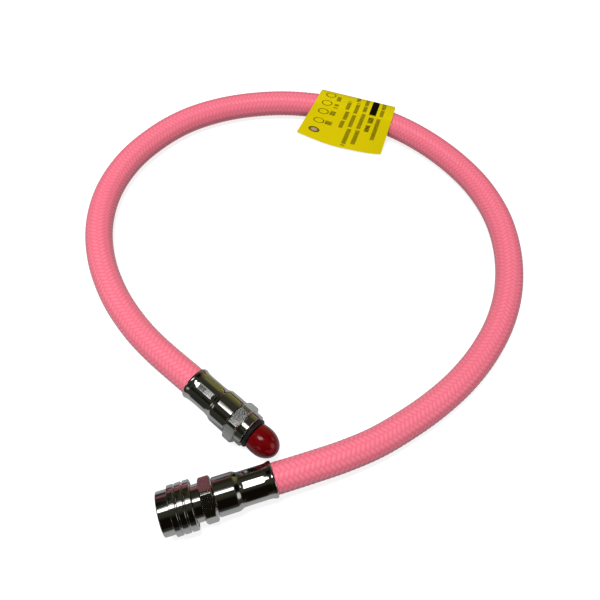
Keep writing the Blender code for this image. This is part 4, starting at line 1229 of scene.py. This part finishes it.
def make_drapes():
    """The dark studio drapes over the table. They glow for metal and gloss alone, with painted reflections:
    tinted patches, and bright ones that paint highlights.
    """
    drapes = added(
        "dark_drapes", bpy.ops.mesh.primitive_uv_sphere_add, segments=48, ring_count=24, radius=DRAPE_RADIUS)
    material, nodes = new_material("dark_drape_cloth", DRAPE_COLOUR, 1.0)
    colour = DRAPE_COLOUR
    # Painted reflections: soft glowing patches on the drapes, tinted and bright, which the metal shows as
    # reflections and highlights.
    for direction, reach, edge, reflected_colour in DRAPE_PAINTED_REFLECTIONS:
        off = nodes.distance(Vector(direction).normalized() * DRAPE_RADIUS)
        share = nodes.span(off, reach * DRAPE_RADIUS, edge * DRAPE_RADIUS, 1.0, 0.0, soft=True)
        colour = nodes.mix(share, colour, reflected_colour)
    nodes.show(nodes.glow(colour))
    drapes.data.materials.append(material)
    only_for_gloss(drapes)


def make_lamp_panel():
    """The lamp as metal and gloss show it: its diffuser, evenly bright and soft at its edges."""
    panel = added("lamp_diffuser", bpy.ops.mesh.primitive_plane_add, LAMP_PLACE, size=0.6)
    material, nodes = new_material("lamp_diffuser_cloth", WHITE, 1.0)
    masks = []
    for side, size in zip(nodes.parts(nodes.place()), LAMP_SIZE):
        off = nodes.math("ABSOLUTE", side)
        masks.append(nodes.span(off, size / 2 - 0.025, size / 2 + 0.02, 1.0, 0.0, soft=True))
    clear = nodes.add("ShaderNodeBsdfTransparent").outputs[0]
    nodes.show(nodes.blend(nodes.times(*masks), clear, nodes.glow((1.0, 1.0, 0.99), PANEL_GLOW)))
    panel.data.materials.append(material)
    only_for_gloss(panel)


def make_softbox():
    """The lamp itself, straight down on the table. Metal and gloss show its diffuser in its place."""
    light = bpy.data.lights.new("overhead_softbox", "AREA")
    light.shape = "RECTANGLE"
    light.size, light.size_y = LAMP_SIZE
    light.energy = LAMP_POWER
    lamp = linked("overhead_softbox", light)
    lamp.location = LAMP_PLACE
    lamp.visible_glossy = False


def make_world():
    """Soft room light. What the camera, metal and glass see of it is white."""
    world = bpy.data.worlds.new("studio")
    bpy.context.scene.world = world
    world.use_nodes = True
    nodes = Nodes(world)
    rays = nodes.add("ShaderNodeLightPath").outputs
    mirrored = nodes.larger(rays["Is Glossy Ray"], rays["Is Transmission Ray"])
    room = nodes.glow((0.95, 0.97, 1.0), ROOM_LIGHT, "ShaderNodeBackground")
    white = nodes.glow(WHITE, 1.0, "ShaderNodeBackground")
    nodes.show(nodes.blend(nodes.larger(rays["Is Camera Ray"], mirrored), room, white))


make_camera()
hose, hose_path, hose_length = make_hose()
tag = make_tag(np.array(hose_path) / MM)
make_adapter()
make_coupler()
make_floor()
make_drapes()
make_lamp_panel()
make_world()
make_softbox()

bpy.context.scene.view_settings.view_transform = "Standard"
deselect_all()
